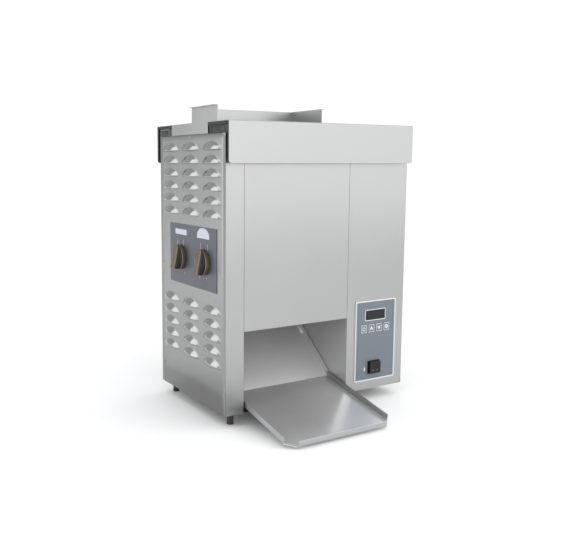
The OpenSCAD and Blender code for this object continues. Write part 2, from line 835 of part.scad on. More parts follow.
// two side plates on the drive shaft, tied by bars, with a pad for the cam; side is +1 when
// the platen lies towards +y
module belt_frame(y, side) {
  left = [roller_x0 - plate_gap - plate_t, roller_x0 - plate_gap];
  right = [roller_x1 + plate_gap, roller_x1 + plate_gap + plate_t];
  half = 13;
  pad_in = side * (cam_r + pad_gap);
  pad_out = side * (cam_r + pad_gap + 4);
  pad_y = [y + min(pad_in, pad_out), y + max(pad_in, pad_out)];
  arm_y = [y + min(side * (half - 3), pad_out), y + max(side * (half - 3), pad_out)];
  difference() {
    union() {
      for (x = [left, right]) along_x(x) stadium(y, [idle_z, drive_z], half);
      for (x = [[left[0] - 1.5, left[0]], [right[1], right[1] + 1.5]]) {
        bar_x(x, y, drive_z, 10);
        bar_x(x, y, idle_z, 9);
      }
      for (f = [0.3, 0.7]) bar_x([left[1], right[0]], y, idle_z + f * belt_run, 4);
      box(left, arm_y, [knob_z - 4, knob_z + 4]);
      box([cam_x0, left[1]], pad_y, [knob_z - 4, knob_z + 4]);
    }
    for (x = [[left[0] - 2, left[1] + 1], [right[0] - 1, right[1] + 2]]) {
      bar_x(x, y, drive_z, shaft_r + run_gap);
      bar_x(x, y, idle_z, idle_r + run_gap);
    }
  }
}

module crown_belt_frame() {
  color(steel_dark) place() belt_frame(crown_y, 1);
}

module heel_belt_frame() {
  color(steel_dark) place() belt_frame(heel_y, -1);
}

// a belt around both rollers
module belt(y) {
  along_x([roller_x0 + 2.5, roller_x1 - 2.5]) difference() {
    stadium(y, [idle_z, drive_z], belt_r);
    stadium(y, [idle_z, drive_z], belt_r - belt_t);
  }
}

module crown_belt() {
  color("darkolivegreen") place() belt(crown_y);
}

module heel_belt() {
  color("darkolivegreen") place() belt(heel_y);
}

module drive_roller(y) {
  bar_x([roller_x0, roller_x1], y, drive_z, roller_r);
  bar_x([wall_l - 4, gear_x + gear_w + 1], y, drive_z, shaft_r);
}

module crown_drive_roller() {
  color("silver") place() drive_roller(crown_y);
}

module heel_drive_roller() {
  color("silver") place() drive_roller(heel_y);
}

module idler_roller(y) {
  out = plate_gap + plate_t + 2;
  bar_x([roller_x0, roller_x1], y, idle_z, roller_r);
  bar_x([roller_x0 - out, roller_x1 + out], y, idle_z, idle_r);
}

module crown_idler_roller() {
  color("silver") place() idler_roller(crown_y);
}

module heel_idler_roller() {
  color("silver") place() idler_roller(heel_y);
}

module drive_bushes() {
  bore = shaft_r + run_gap;
  color("ivory") place() for (y = [crown_y, heel_y]) {
    bush([wall_l - 3.5, wall_l + 2], [wall_l, wall_l + 2], y, drive_z, bearing_r - 0.02, 12, bore);
    bush([wall_r - 2, wall_r + 3.5], [wall_r - 2, wall_r], y, drive_z, bearing_r - 0.02, 12, bore);
  }
}

// ---- gears and motor ----

pressure = 25;
addendum = 0.85;
dedendum = 1.15;
backlash = 0.35;
rad = 180 / PI;

// the angle that an involute has turned, in degrees, at radius r from base radius b
function involute(b, r) = r <= b ? 0 : rad * sqrt(pow(r / b, 2) - 1) - acos(b / r);

// a gear's outline: five radii up one flank and down the other of every tooth
function gear_points(teeth) =
  let (
    pitch_r = gear_module * teeth / 2,
    base_r = pitch_r * cos(pressure),
    root_r = pitch_r - dedendum * gear_module,
    tip_r = pitch_r + addendum * gear_module,
    half = 90 / teeth - backlash / 2 / pitch_r * rad + involute(base_r, pitch_r),
    radii = [for (k = [0:4]) max(root_r, base_r) + (tip_r - max(root_r, base_r)) * k / 4])
  [for (t = [0:teeth - 1]) let (mid = t * 360 / teeth) each concat(
    [root_r * [cos(mid - half), sin(mid - half)]],
    [for (r = radii) let (a = mid - half + involute(base_r, r)) r * [cos(a), sin(a)]],
    [for (k = [4:-1:0]) let (r = radii[k], a = mid + half - involute(base_r, r)) r * [cos(a), sin(a)]],
    [root_r * [cos(mid + half), sin(mid + half)]])];

// a gear on a shaft along x; turn is in degrees from +y towards +z
module spur_gear(y, z, teeth, turn, bore) {
  translate([0, y, z]) difference() {
    union() {
      rotate([turn, 0, 0]) along_x([gear_x, gear_x + gear_w]) polygon(gear_points(teeth));
      bar_x([gear_x - 1.2, gear_x + gear_w + 1], 0, 0, bore + 5);
    }
    bar_x([gear_x - 2, gear_x + gear_w + 2], 0, 0, bore);
  }
}

module crown_drive_gear() {
  color("ivory") place() spur_gear(crown_y, drive_z, gear_teeth, 0, shaft_r);
}

module heel_drive_gear() {
  color("ivory") place() spur_gear(heel_y, drive_z, gear_teeth, 180 / gear_teeth, shaft_r);
}

motor_shaft_r = 5;
bracket_x = gear_x + gear_w + 1.8;

module motor_pinion() {
  color("ivory") place() {
    spur_gear(crown_y, pinion_z, pinion_teeth, 180 / pinion_teeth, motor_shaft_r);
    bar_x([gear_x - 1.2, bracket_x + plate_t + 9], crown_y, pinion_z, motor_shaft_r);
  }
}

module motor_bracket() {
  half = 44;
  post = 38;
  z = [pinion_z - 42, pinion_z + 41];
  color(steel_dark) place() {
    difference() {
      box([bracket_x, bracket_x + plate_t], [crown_y - half, crown_y + half], z);
      bar_x([bracket_x - 1, bracket_x + 3], crown_y, pinion_z, 12);
    }
    for (p = [[-post, -36], [post, -36], [post, 9], [-post, 9]])
      bar_x([wall_r + sheet, bracket_x], crown_y + p[0], pinion_z + p[1], 4);
  }
}

module gear_motor() {
  box_x = [bracket_x + plate_t, bracket_x + plate_t + 32];
  motor_x = [box_x[1], box_x[1] + 62];
  color("gray") place() difference() {
    union() {
      box(box_x, [crown_y - 30, crown_y + 30], [pinion_z - 33, pinion_z + 33]);
      bar_x(motor_x, crown_y, pinion_z, 28);
      bar_x([motor_x[1], motor_x[1] + 4], crown_y, pinion_z, 10);
    }
    bar_x([box_x[0] - 1, box_x[0] + 10], crown_y, pinion_z, motor_shaft_r + run_gap);
  }
}

// ---- platen ----

module platen_skin_plate(y) {
  box([platen_x0, platen_x0 + platen_w], [y, y + platen_skin], [platen_z0, platen_z1]);
}

module platen_front_plate() {
  color("gray") place() platen_skin_plate(platen_y - platen_t / 2);
}

module platen_rear_plate() {
  color("gray") place() platen_skin_plate(platen_y + platen_t / 2 - platen_skin);
}

element_r = 4;
element_end = 63;                       // from the platen's top to the highest element
element_start = 30;                     // from the platen's foot to the lowest element
element_pitch = (platen_h - element_start - element_end) / 4;
element_zs = [for (i = [0:4]) platen_z0 + element_start + i * element_pitch];

// the edge frame that holds the two faces apart
module platen_core() {
  y = [platen_y - platen_t / 2 + platen_skin, platen_y + platen_t / 2 - platen_skin];
  edge = 10;
  color(steel_dark) place() difference() {
    box([platen_x0, platen_x0 + platen_w], y, [platen_z0, platen_z1]);
    box([platen_x0 + edge, platen_x0 + platen_w - edge], [y[0] - 1, y[1] + 1], [platen_z0 + edge, platen_z1 - edge]);
    for (z = element_zs)
      bar_x([platen_x0 + platen_w - edge - 1, platen_x0 + platen_w + 1], platen_y, z, element_r + 0.2);
  }
}

// straight sheathed heaters, pushed in from the right, with their terminals in the cabinet
module heating_elements() {
  x1 = wall_r + 14;
  color("dimgray") place() for (z = element_zs) {
    bar_x([platen_x0 + 12, x1], platen_y, z, element_r);
    bar_x([x1, x1 + 10], platen_y, z, 1.5);
  }
}

module platen_brackets() {
  deep = [platen_y - 6, platen_y + 6];
  color(steel_dark) place() for (z = [platen_z0 + 45, platen_z1 - 55]) {
    box([wall_l, platen_x0], deep, [z, z + 20]);
    box([platen_x0 + platen_w, wall_r], deep, [z, z + 20]);
  }
}

// ---- fan and electrics ----

module fan_housing() {
  half = fan_size / 2;
  color(black) place() {
    difference() {
      box([fan_x - half, fan_x + half], [fan_y, fan_y + fan_depth], [fan_z - half, fan_z + half]);
      bar_y(fan_x, [fan_y - 1, fan_y + fan_depth + 1], fan_z, half - 2);
    }
    difference() {
      union() {
        bar_y(fan_x, [fan_y + fan_depth - 6, fan_y + fan_depth], fan_z, 16);
        for (a = [0:90:270]) translate([fan_x, 0, fan_z]) rotate([0, a + 45, 0])
          box([10, half - 1], [fan_y + fan_depth - 4, fan_y + fan_depth], [-1.5, 1.5]);
      }
      bar_y(fan_x, [fan_y + fan_depth - 7, fan_y + fan_depth - 1], fan_z, 2 + run_gap);
    }
  }
}

module fan_rotor() {
  y = [fan_y + 2, fan_y + fan_depth - 7];
  mid = (y[0] + y[1]) / 2;
  color("dimgray") place() {
    bar_y(fan_x, y, fan_z, 16);
    bar_y(fan_x, [y[1], fan_y + fan_depth - 1.2], fan_z, 2);
    for (i = [0:6]) translate([fan_x, mid, fan_z]) rotate([0, i * 360 / 7, 0]) rotate([38, 0, 0])
      box([14, fan_size / 2 - 4], [-9, 9], [-0.8, 0.8]);
  }
}

module control_board() {
  x0 = wall_r + sheet + 5;
  y = [platen_y + 14, back_y - 30];
  z = [floor_z + 30, floor_z + 190];
  color("darkgreen") place() {
    box([x0, x0 + 1.6], y, z);
    for (py = [y[0] + 5, y[1] - 5], pz = [z[0] + 5, z[1] - 5]) bar_x([wall_r + sheet, x0], py, pz, 3);
    box([x0 + 1.6, x0 + 34], [y[0] + 15, y[0] + 55], [z[0] + 15, z[0] + 50]);
    for (pz = [z[0] + 70, z[0] + 95]) box([x0 + 1.6, x0 + 20], [y[0] + 15, y[0] + 45], [pz, pz + 18]);
    bar_x([x0 + 1.6, x0 + 26], y[0] + 72, z[0] + 35, 9);
    box([x0 + 1.6, x0 + 12], [y[1] - 20, y[1] - 10], [z[0] + 60, z[0] + 130]);
  }
}

module terminal_block() {
  z0 = floor_z + sheet;
  color("ivory") place() {
    box([gland_x - 40, gland_x + 10], [platen_y + 40, platen_y + 60], [z0, z0 + 12]);
    for (i = [0:4]) box([gland_x - 39 + i * 10, gland_x - 31 + i * 10], [platen_y + 43, platen_y + 57], [z0 + 12, z0 + 20]);
  }
}

base_pan();
left_side_panel();
right_side_panel();
left_pillar();
front_panel();
cabinet_front();
rear_panel();
inner_wall_left();
inner_wall_right();
case_screws();
feet();
cable_gland();
hood();
hood_end_seals();
hood_spacers_front();
hood_spacers_rear();
bun_feeder();
landing_tray();
tray_supports();
bun_slide();
slide_clip();
panel_frame();
panel_overlay();
display_window();
display_board();
key_mode();
key_up();
key_down();
key_start();
switch_housing();
switch_rocker();
knob_plate();
crown_knob();
heel_knob();
crown_cam_shaft();
heel_cam_shaft();
cam_bushes();
crown_belt_frame();
heel_belt_frame();
crown_belt();
heel_belt();
crown_drive_roller();
heel_drive_roller();
crown_idler_roller();
heel_idler_roller();
drive_bushes();
crown_drive_gear();
heel_drive_gear();
motor_pinion();
gear_motor();
motor_bracket();
platen_front_plate();
platen_rear_plate();
platen_core();
heating_elements();
platen_brackets();
fan_housing();
fan_rotor();
control_board();
terminal_block();
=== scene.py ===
import math

import bmesh
import bpy
import numpy as np
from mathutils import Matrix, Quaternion, Vector


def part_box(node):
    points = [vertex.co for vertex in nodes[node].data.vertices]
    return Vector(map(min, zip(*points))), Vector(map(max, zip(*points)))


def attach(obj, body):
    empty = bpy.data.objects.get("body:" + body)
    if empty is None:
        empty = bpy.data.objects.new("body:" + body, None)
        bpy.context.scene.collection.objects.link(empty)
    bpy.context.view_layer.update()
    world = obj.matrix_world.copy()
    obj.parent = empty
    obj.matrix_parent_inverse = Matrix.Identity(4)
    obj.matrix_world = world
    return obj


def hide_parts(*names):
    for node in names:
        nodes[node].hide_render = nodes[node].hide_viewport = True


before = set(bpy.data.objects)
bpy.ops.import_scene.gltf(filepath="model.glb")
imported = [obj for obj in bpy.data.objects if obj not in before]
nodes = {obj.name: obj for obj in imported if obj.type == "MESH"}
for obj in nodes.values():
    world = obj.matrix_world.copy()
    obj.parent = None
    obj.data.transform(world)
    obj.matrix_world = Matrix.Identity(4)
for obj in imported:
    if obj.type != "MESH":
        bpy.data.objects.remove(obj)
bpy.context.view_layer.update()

# The studio: a plain pale floor and an even pale surround, a soft light from above, soft panels ahead
# on the right and low in front, and a tall strip on the left, towards the back. The camera stands
# ahead on the left.
scene = bpy.context.scene
scene.view_settings.view_transform = "Standard"
eye = bpy.data.cameras.new("eye")
eye.sensor_width, eye.lens = 36.0, 45.63
eye.shift_x, eye.shift_y = 0.0998, -0.0363
eye.clip_end = 60.0
camera = bpy.data.objects.new("eye", eye)
scene.collection.objects.link(camera)
yaw, pitch, roll = 0.5244, -0.1219, 0.0011
looking = Vector((math.sin(yaw) * math.cos(pitch), math.cos(yaw) * math.cos(pitch), math.sin(pitch)))
camera.location = (-0.85517, -1.19298, 0.4937)
camera.rotation_euler = (looking.to_track_quat("-Z", "Y") @ Quaternion((0, 0, 1), roll)).to_euler()
scene.camera = camera

surround = bpy.data.worlds.new("surround")
surround.use_nodes = True
scene.world = surround
sky = surround.node_tree
shown = sky.nodes.new("ShaderNodeBackground")
lighting = sky.nodes["Background"]
for background, colour, strength in ((shown, (1, 1, 1, 1), 1.05), (lighting, (0.98, 0.99, 1.0, 1), 0.74)):
    background.inputs["Color"].default_value = colour
    background.inputs["Strength"].default_value = strength
ray = sky.nodes.new("ShaderNodeLightPath")
either = sky.nodes.new("ShaderNodeMixShader")
sky.links.new(ray.outputs["Is Camera Ray"], either.inputs["Fac"])
sky.links.new(lighting.outputs["Background"], either.inputs[1])
sky.links.new(shown.outputs["Background"], either.inputs[2])
sky.links.new(either.outputs["Shader"], sky.nodes["World Output"].inputs["Surface"])


def lamp(name, kind, place, towards, energy, **sizes):
    """A light at a place, turned to face a point."""
    data = bpy.data.lights.new(name, kind)
    data.energy = energy
    for key, value in sizes.items():
        setattr(data, key, value)
    light = bpy.data.objects.new(name, data)
    light.location = place
    light.rotation_euler = (Vector(towards) - Vector(place)).to_track_quat("-Z", "Y").to_euler()
    scene.collection.objects.link(light)


lamp("overhead", "SUN", (0.6, -1.0, 3.0), (0, 0, 0), 1.45, angle=math.radians(120))
lamp("soft_panel", "AREA", (0.62, -1.15, 0.76), (-0.05, -0.07, 0.56), 4.6,
     shape="RECTANGLE", size=1.7, size_y=1.0)
lamp("front_fill", "AREA", (-0.5, -2.4, 0.55), (0.0, 0.0, 0.15), 7,
     shape="RECTANGLE", size=2.4, size_y=1.0)
lamp("left_strip", "AREA", (-1.9, 1.30, 0.85), (-0.21, 0.07, 0.4), 8.5,
     shape="RECTANGLE", size=1.0, size_y=1.7)


def grid_faces(rows, columns, round_rows=False, round_columns=False):
    """Corner numbers of the quads between neighbours of a rows × columns grid, as one array; a round
    direction joins its last line to its first."""
    r = np.arange(rows if round_rows else rows - 1)
    c = np.arange(columns if round_columns else columns - 1)
    r, c = [a.ravel() for a in np.meshgrid(r, c, indexing="ij")]
    r2, c2 = (r + 1) % rows, (c + 1) % columns
    return np.stack([r * columns + c, r * columns + c2, r2 * columns + c2, r2 * columns + c], axis=1)


def make_piece(name, points, faces, material, body, stands_for=(), smooth=True, marks=None, outwards=None):
    """A mesh object of the points, with doubles merged and its faces turned outwards; marks is a
    value for each point, kept as the attribute 'mark'. An open sheet faces the outwards direction."""
    mesh = bpy.data.meshes.new(name)
    mesh.from_pydata(np.asarray(points, float).reshape(-1, 3).tolist(), [], [list(f) for f in faces])
    if marks is not None:
        layer = mesh.attributes.new("mark", "FLOAT", "POINT")
        layer.data.foreach_set("value", np.asarray(marks, np.float32).ravel())
    cleaner = bmesh.new()
    cleaner.from_mesh(mesh)
    bmesh.ops.remove_doubles(cleaner, verts=cleaner.verts, dist=2e-6)
    bmesh.ops.dissolve_degenerate(cleaner, edges=cleaner.edges, dist=1e-7)
    bmesh.ops.recalc_face_normals(cleaner, faces=cleaner.faces)
    if outwards is not None:
        facing = sum((f.normal * f.calc_area() for f in cleaner.faces), Vector())
        if facing.dot(Vector(outwards)) < 0:
            bmesh.ops.reverse_faces(cleaner, faces=cleaner.faces)
    cleaner.to_mesh(mesh)
    cleaner.free()
    if smooth:
        mesh.polygons.foreach_set("use_smooth", np.ones(len(mesh.polygons), bool))
        mesh.set_sharp_from_angle(angle=math.radians(35))
    mesh.materials.append(material)
    piece = bpy.data.objects.new(name, mesh)
    scene.collection.objects.link(piece)
    if body:
        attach(piece, body)
    if stands_for:
        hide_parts(*stands_for)
    return piece


def start_material(name, metallic=0.0, roughness=0.5, **constants):
    """A material with one Principled shader; the constants go on the shader's own sockets."""
    material = bpy.data.materials.new(name)
    material.use_nodes = True
    shader = material.node_tree.nodes["Principled BSDF"]
    shader.inputs["Metallic"].default_value = metallic
    shader.inputs["Roughness"].default_value = roughness
    for key, value in constants.items():
        shader.inputs[key.replace("_", " ")].default_value = value
    return material, material.node_tree, shader


def blend_colours(tree, amount, a, b):
    """A colour between a and b; each is a socket or a colour."""
    mix = tree.nodes.new("ShaderNodeMix")
    mix.data_type = "RGBA"
    for slot, value in ((mix.inputs["Factor"], amount), (mix.inputs["A"], a), (mix.inputs["B"], b)):
        if isinstance(value, bpy.types.NodeSocket):
            tree.links.new(value, slot)
        elif slot.type == "RGBA":
            slot.default_value = (*value, 1)
        else:
            slot.default_value = value
    return mix.outputs["Result"]


def noise(tree, where, scale, detail=2.0, stretch=None):
    """A noise pattern's value over an object's coordinates; stretch scales each axis first."""
    if stretch:
        turn = tree.nodes.new("ShaderNodeMapping")
        turn.inputs["Scale"].default_value = stretch
        tree.links.new(where, turn.inputs["Vector"])
        where = turn.outputs["Vector"]
    pattern = tree.nodes.new("ShaderNodeTexNoise")
    pattern.inputs["Detail"].default_value = detail
    if isinstance(scale, (int, float)):
        pattern.inputs["Scale"].default_value = scale
    else:
        tree.links.new(scale, pattern.inputs["Scale"])
    tree.links.new(where, pattern.inputs["Vector"])
    return pattern.outputs["Fac"]


# the floor: one wide flat sheet with a slight cloudiness
floor_stuff, floor_tree, floor_shader = start_material("pale_floor", 0.0, 0.9)
floor_where = floor_tree.nodes.new("ShaderNodeTexCoord")
floor_cloud = noise(floor_tree, floor_where.outputs["Object"], 3.0)
floor_colour = blend_colours(floor_tree, floor_cloud, (0.90, 0.90, 0.90), (0.93, 0.93, 0.93))
floor_tree.links.new(floor_colour, floor_shader.inputs["Base Color"])
reach = np.linspace(-14, 14, 3)
floor_points = np.stack([*np.meshgrid(reach, reach, indexing="ij"), np.zeros((3, 3))], axis=-1)
make_piece("floor", floor_points, grid_faces(3, 3), floor_stuff, None)

# The casing: folded stainless sheet, satin finished. The base pan, left pillar, front panel, cabinet
# front and rear panel are bent on a brake and screwed together through their return flanges.


def calc(tree, work, *values):
    """A Math node for one step of work on numbers or sockets; gives its output."""
    step = tree.nodes.new("ShaderNodeMath")
    step.operation = work
    for slot, value in zip(step.inputs, values):
        if isinstance(value, (int, float)):
            slot.default_value = value
        else:
            tree.links.new(value, slot)
    return step.outputs[0]


def around_half(tree, value):
    """A pattern's value less one half, so that it swings about zero."""
    return calc(tree, "SUBTRACT", value, 0.5)


def start_group(name, takes, gives):
    """A shader node group with the named inputs, each with its start value, and named outputs."""
    group = bpy.data.node_groups.new(name, "ShaderNodeTree")
    kinds = {"Vector": "NodeSocketVector", "Colour": "NodeSocketColor"}
    for key, value in takes.items():
        kind = kinds.get(key, "NodeSocketFloat")
        socket = group.interface.new_socket(key, in_out="INPUT", socket_type=kind)
        if value is not None:
            socket.default_value = value
    for key in gives:
        group.interface.new_socket(key, in_out="OUTPUT", socket_type=kinds.get(key, "NodeSocketFloat"))
    return group, group.nodes.new("NodeGroupInput").outputs, group.nodes.new("NodeGroupOutput").inputs


# satin sheet: fine even grain, faint lines drawn along z, and broad soft patches of handling
satin, given, out = start_group(
    "satin_sheet",
    {"Vector": None, "Colour": (0.6, 0.6, 0.6, 1), "Grain": 900.0, "Patches": 0.05, "Shine": 0.35,
     "Drawn": 0.35},
    ["Colour", "Roughness", "Height"])
speck = noise(satin, given["Vector"], given["Grain"], 1.5)
drawn = noise(satin, given["Vector"], 60.0, 2.0, (14, 14, 0.6))
patch = noise(satin, given["Vector"], 7.0, 3.0)
tone = calc(satin, "MULTIPLY_ADD", around_half(satin, patch), given["Patches"], 0.5)
tone = calc(satin, "MULTIPLY_ADD", around_half(satin, speck), 0.45, tone)
dark = blend_colours(satin, 0.14, given["Colour"], (0, 0, 0))
light = blend_colours(satin, 0.14, given["Colour"], (1, 1, 1))
satin.links.new(blend_colours(satin, tone, dark, light), out["Colour"])
rough = calc(satin, "MULTIPLY_ADD", around_half(satin, patch), 0.14, given["Shine"])
satin.links.new(calc(satin, "MULTIPLY_ADD", around_half(satin, speck), 0.10, rough), out["Roughness"])
satin.links.new(calc(satin, "MULTIPLY_ADD", drawn, given["Drawn"], speck), out["Height"])


def grouped_material(name, group, bump, metallic, distance=0.0001, constants=None, **values):
    """A material whose colour, roughness and bump come from a group, fed with these values."""
    material, tree, shader = start_material(name, metallic, **(constants or {}))
    use = tree.nodes.new("ShaderNodeGroup")
    use.node_tree = group
    where = tree.nodes.new("ShaderNodeTexCoord")
    tree.links.new(where.outputs["Object"], use.inputs["Vector"])
    for key, value in values.items():
        use.inputs[key].default_value = (*value, 1) if isinstance(value, tuple) else value
    relief = tree.nodes.new("ShaderNodeBump")
    relief.inputs["Strength"].default_value = bump
    relief.inputs["Distance"].default_value = distance
    tree.links.new(use.outputs["Height"], relief.inputs["Height"])
    tree.links.new(relief.outputs["Normal"], shader.inputs["Normal"])
    tree.links.new(use.outputs["Colour"], shader.inputs["Base Color"])
    tree.links.new(use.outputs["Roughness"], shader.inputs["Roughness"])
    return material


def finish_node(material, *names):
    """Gives a CAD node's mesh this finish."""
    for name in names:
        for holder in nodes[name].material_slots:
            holder.material = material


casing_steel = grouped_material(
    "casing_steel", satin, 0.10, 1.0, Colour=(0.39, 0.39, 0.39), Grain=850.0, Patches=0.10, Shine=0.34)
inner_steel = grouped_material(
    "inner_steel", satin, 0.12, 0.6, Colour=(0.66, 0.66, 0.66), Grain=700.0, Patches=0.20, Shine=0.36)
finish_node(casing_steel, "left_pillar", "front_panel", "cabinet_front", "rear_panel", "base_pan")
finish_node(inner_steel, "inner_wall_left", "inner_wall_right", "tray_supports", "motor_bracket")

# The side panels: one sheet each, with rows of louvres pressed outwards and slit along their lower
# edges. Fourteen small screws hold the pair to the flanges behind.


def mark_of(material):
    """The material's tree, the value of the mesh's own 'mark' attribute and the group's inputs."""
    tree = material.node_tree
    attribute = tree.nodes.new("ShaderNodeAttribute")
    attribute.attribute_name = "mark"
    group_use = next(n for n in tree.nodes if n.type == "GROUP")
    return tree, attribute.outputs["Fac"], group_use.inputs


side_steel = grouped_material(
    "side_steel", satin, 0.05, 1.0, Colour=(0.29, 0.29, 0.29), Grain=850.0, Patches=0.10, Shine=0.36)
side_tree, pressed, side_inputs = mark_of(side_steel)
side_tree.links.new(calc(side_tree, "MULTIPLY_ADD", pressed, -0.22, 0.36), side_inputs["Shine"])
sheet_thick = 0.0012
louvre_length, louvre_height, louvre_out = 0.070, 0.0165, 0.007
column_pitch, row_pitch, upper_rows, lower_rows = 0.0873, 0.0253, 6, 5
panel_low, panel_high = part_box("left_side_panel")
louvre_ys = (panel_low.y + panel_high.y) / 2 + 0.0012 + column_pitch * np.array([-1, 0, 1])
louvre_zs = np.concatenate([panel_high.z - 0.0295 - row_pitch * np.arange(upper_rows),
                            panel_low.z + 0.1868 - row_pitch * np.arange(lower_rows)])


def louvred_sheet(face, out):
    """A sheet standing at x = face with lanced louvres on its out side (-1 or 1), and how far each
    point is pressed out. A louvre is a slice of a turned dome: at each height its radius is the
    axis distance plus a smooth fall, and its foot runs into the sheet with a small fillet. Each
    louvre's lower edge is a doubled row, so the sheet is slit there; a guard row just below it keeps
    the flat sheet's shading flat."""
    axis = (louvre_length ** 2 / 4 + louvre_out ** 2) / (2 * louvre_out) - louvre_out
    span = np.linspace(-0.0365, 0.0365, 61)
    ys = np.unique(np.concatenate([[panel_low.y, panel_high.y], (louvre_ys[:, None] + span).ravel()]))
    rise = np.sin(np.radians([0, 8, 16, 24, 32, 40, 48, 56, 63, 69, 75, 80, 85, 90])) * louvre_height
    guard_below, guard_above, soft = 0.0005, 0.0006, 0.0004
    rows, lower = [(panel_low.z, None)], []
    for z in np.sort(louvre_zs):
        rows.extend([(z - guard_below, None), (z, None)])
        lower.append(len(rows) - 1)
        rows.extend((z + r, z) for r in rise)
        rows.append((z + louvre_height + guard_above, z))
    rows.append((panel_high.z, None))
    z = np.array([r[0] for r in rows])
    above = np.array([r[0] - r[1] if r[1] is not None else 1.0 for r in rows])
    radius = axis + louvre_out * np.clip(1 - (above / louvre_height) ** 2, 0, 1) ** 1.25
    near = np.abs(ys[:, None] - louvre_ys[None, :]).min(axis=1)
    bulge = np.sqrt(radius[:, None] ** 2 - np.minimum(near, 0.06)[None, :] ** 2) - axis
    bulge[above > louvre_height + 1e-4] = -1
    bulge = np.where(bulge > soft, bulge, np.where(bulge < -soft, 0, (bulge + soft) ** 2 / (4 * soft)))
    bulge[above > 0.5] = 0
    bulge = np.minimum(bulge, louvre_out)
    points = np.stack([face + out * bulge, ys[None, :] + 0 * bulge, z[:, None] + 0 * bulge], axis=-1)
    faces = grid_faces(len(z), len(ys))
    row = faces[:, 0] // len(ys)
    return points, faces[~np.isin(row, lower)], np.clip(bulge / louvre_out * 5, 0, 1)


left_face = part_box("left_pillar")[0].x - sheet_thick
right_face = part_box("right_side_panel")[0].x + sheet_thick
for side, face, out in (("left", left_face, -1), ("right", right_face, 1)):
    sheet_points, sheet_faces, pressed_out = louvred_sheet(face, out)
    panel = make_piece(side + "_louvred_panel", sheet_points, sheet_faces, side_steel, "root",
                       [side + "_side_panel"], marks=pressed_out, outwards=(out, 0, 0))
    wall = panel.modifiers.new("wall", "SOLIDIFY")
    wall.thickness, wall.offset = sheet_thick, -1.0
screw_steel = grouped_material(
    "screw_steel", satin, 0.15, 1.0, Colour=(0.30, 0.30, 0.30), Grain=1800.0, Patches=0.3, Shine=0.35)
finish_node(screw_steel, "case_screws")

# The feet: turned black rubber, each with a chamfered sole, a shallow groove and a moulded stud that
# is pressed up through the base pan.


def turned(centre, axis, profile, around=48):
    """Points of a turned shape: each (distance along, radius) pair of the profile is swept round an
    axis (0 for x, 1 for y, 2 for z) through the centre, with a sine and a cosine of the angle."""
    angle = np.linspace(0, 2 * np.pi, around, endpoint=False)
    profile = np.asarray(profile, float)
    points = np.zeros((len(profile), around, 3))
    a, b = [(1, 2), (2, 0), (0, 1)][axis]
    points[..., axis] = profile[:, :1]
    points[..., a] = profile[:, 1:] * np.cos(angle)
    points[..., b] = profile[:, 1:] * np.sin(angle)
    return points + np.asarray(centre, float)


def joined(name, parts, material, body, stands_for=(), marks=None, capped=False):
    """One piece from several grids; each grid is points of rows × columns, round in its columns. capped
    closes the first and the last row of each with a flat face."""
    points, faces, start = [], [], 0
    for part in parts:
        rows, columns = part.shape[:2]
        faces.extend((grid_faces(rows, columns, False, True) + start).tolist())
        if capped:
            faces.append(list(range(start, start + columns)))
            faces.append(list(range(start + (rows - 1) * columns, start + rows * columns)))
        points.append(part.reshape(-1, 3))
        start += rows * columns
    return make_piece(name, np.concatenate(points), faces, material, body, stands_for, marks=marks)


# a skin for every moulded piece: fine pits, slight cloudiness and a little settled dust
moulded, given, out = start_group(
    "moulded_skin",
    {"Vector": None, "Colour": (0.03, 0.03, 0.03, 1), "Grain": 1200.0, "Dust": 0.1, "Shine": 0.45},
    ["Colour", "Roughness", "Height"])
pits = noise(moulded, given["Vector"], given["Grain"], 2.0)
cloud = noise(moulded, given["Vector"], 24.0, 3.0)
settled = calc(moulded, "MULTIPLY", calc(moulded, "POWER", cloud, 2.0), given["Dust"])
moulded.links.new(blend_colours(moulded, settled, given["Colour"], (0.55, 0.53, 0.50)), out["Colour"])
rough = calc(moulded, "MULTIPLY_ADD", around_half(moulded, cloud), 0.16, given["Shine"])
moulded.links.new(calc(moulded, "MULTIPLY_ADD", settled, 0.8, rough), out["Roughness"])
moulded.links.new(pits, out["Height"])
foot_rubber = grouped_material(
    "foot_rubber", moulded, 0.2, 0.0, Colour=(0.018, 0.018, 0.018), Grain=1500.0, Dust=0.10, Shine=0.55)
foot_low, foot_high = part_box("feet")
foot_radius = 0.0067
foot_profile = np.array([
    [0, 0], [0, 6.0], [0.7, 6.7], [3.2, 6.62], [3.6, 6.2], [4.4, 6.2], [4.8, 6.55], [23.2, 6.05],
    [24.6, 6.0], [25.0, 5.6], [25.0, 3.0], [30.4, 2.9], [31.0, 2.3], [31.0, 0]]) / 1000
feet = []
for foot_x in (foot_low.x + foot_radius, foot_high.x - foot_radius):
    for foot_y in (foot_low.y + foot_radius, foot_high.y - foot_radius):
        feet.append(turned((foot_x, foot_y, 0), 2, foot_profile))
joined("rubber_feet", feet, foot_rubber, "root", ["feet"])

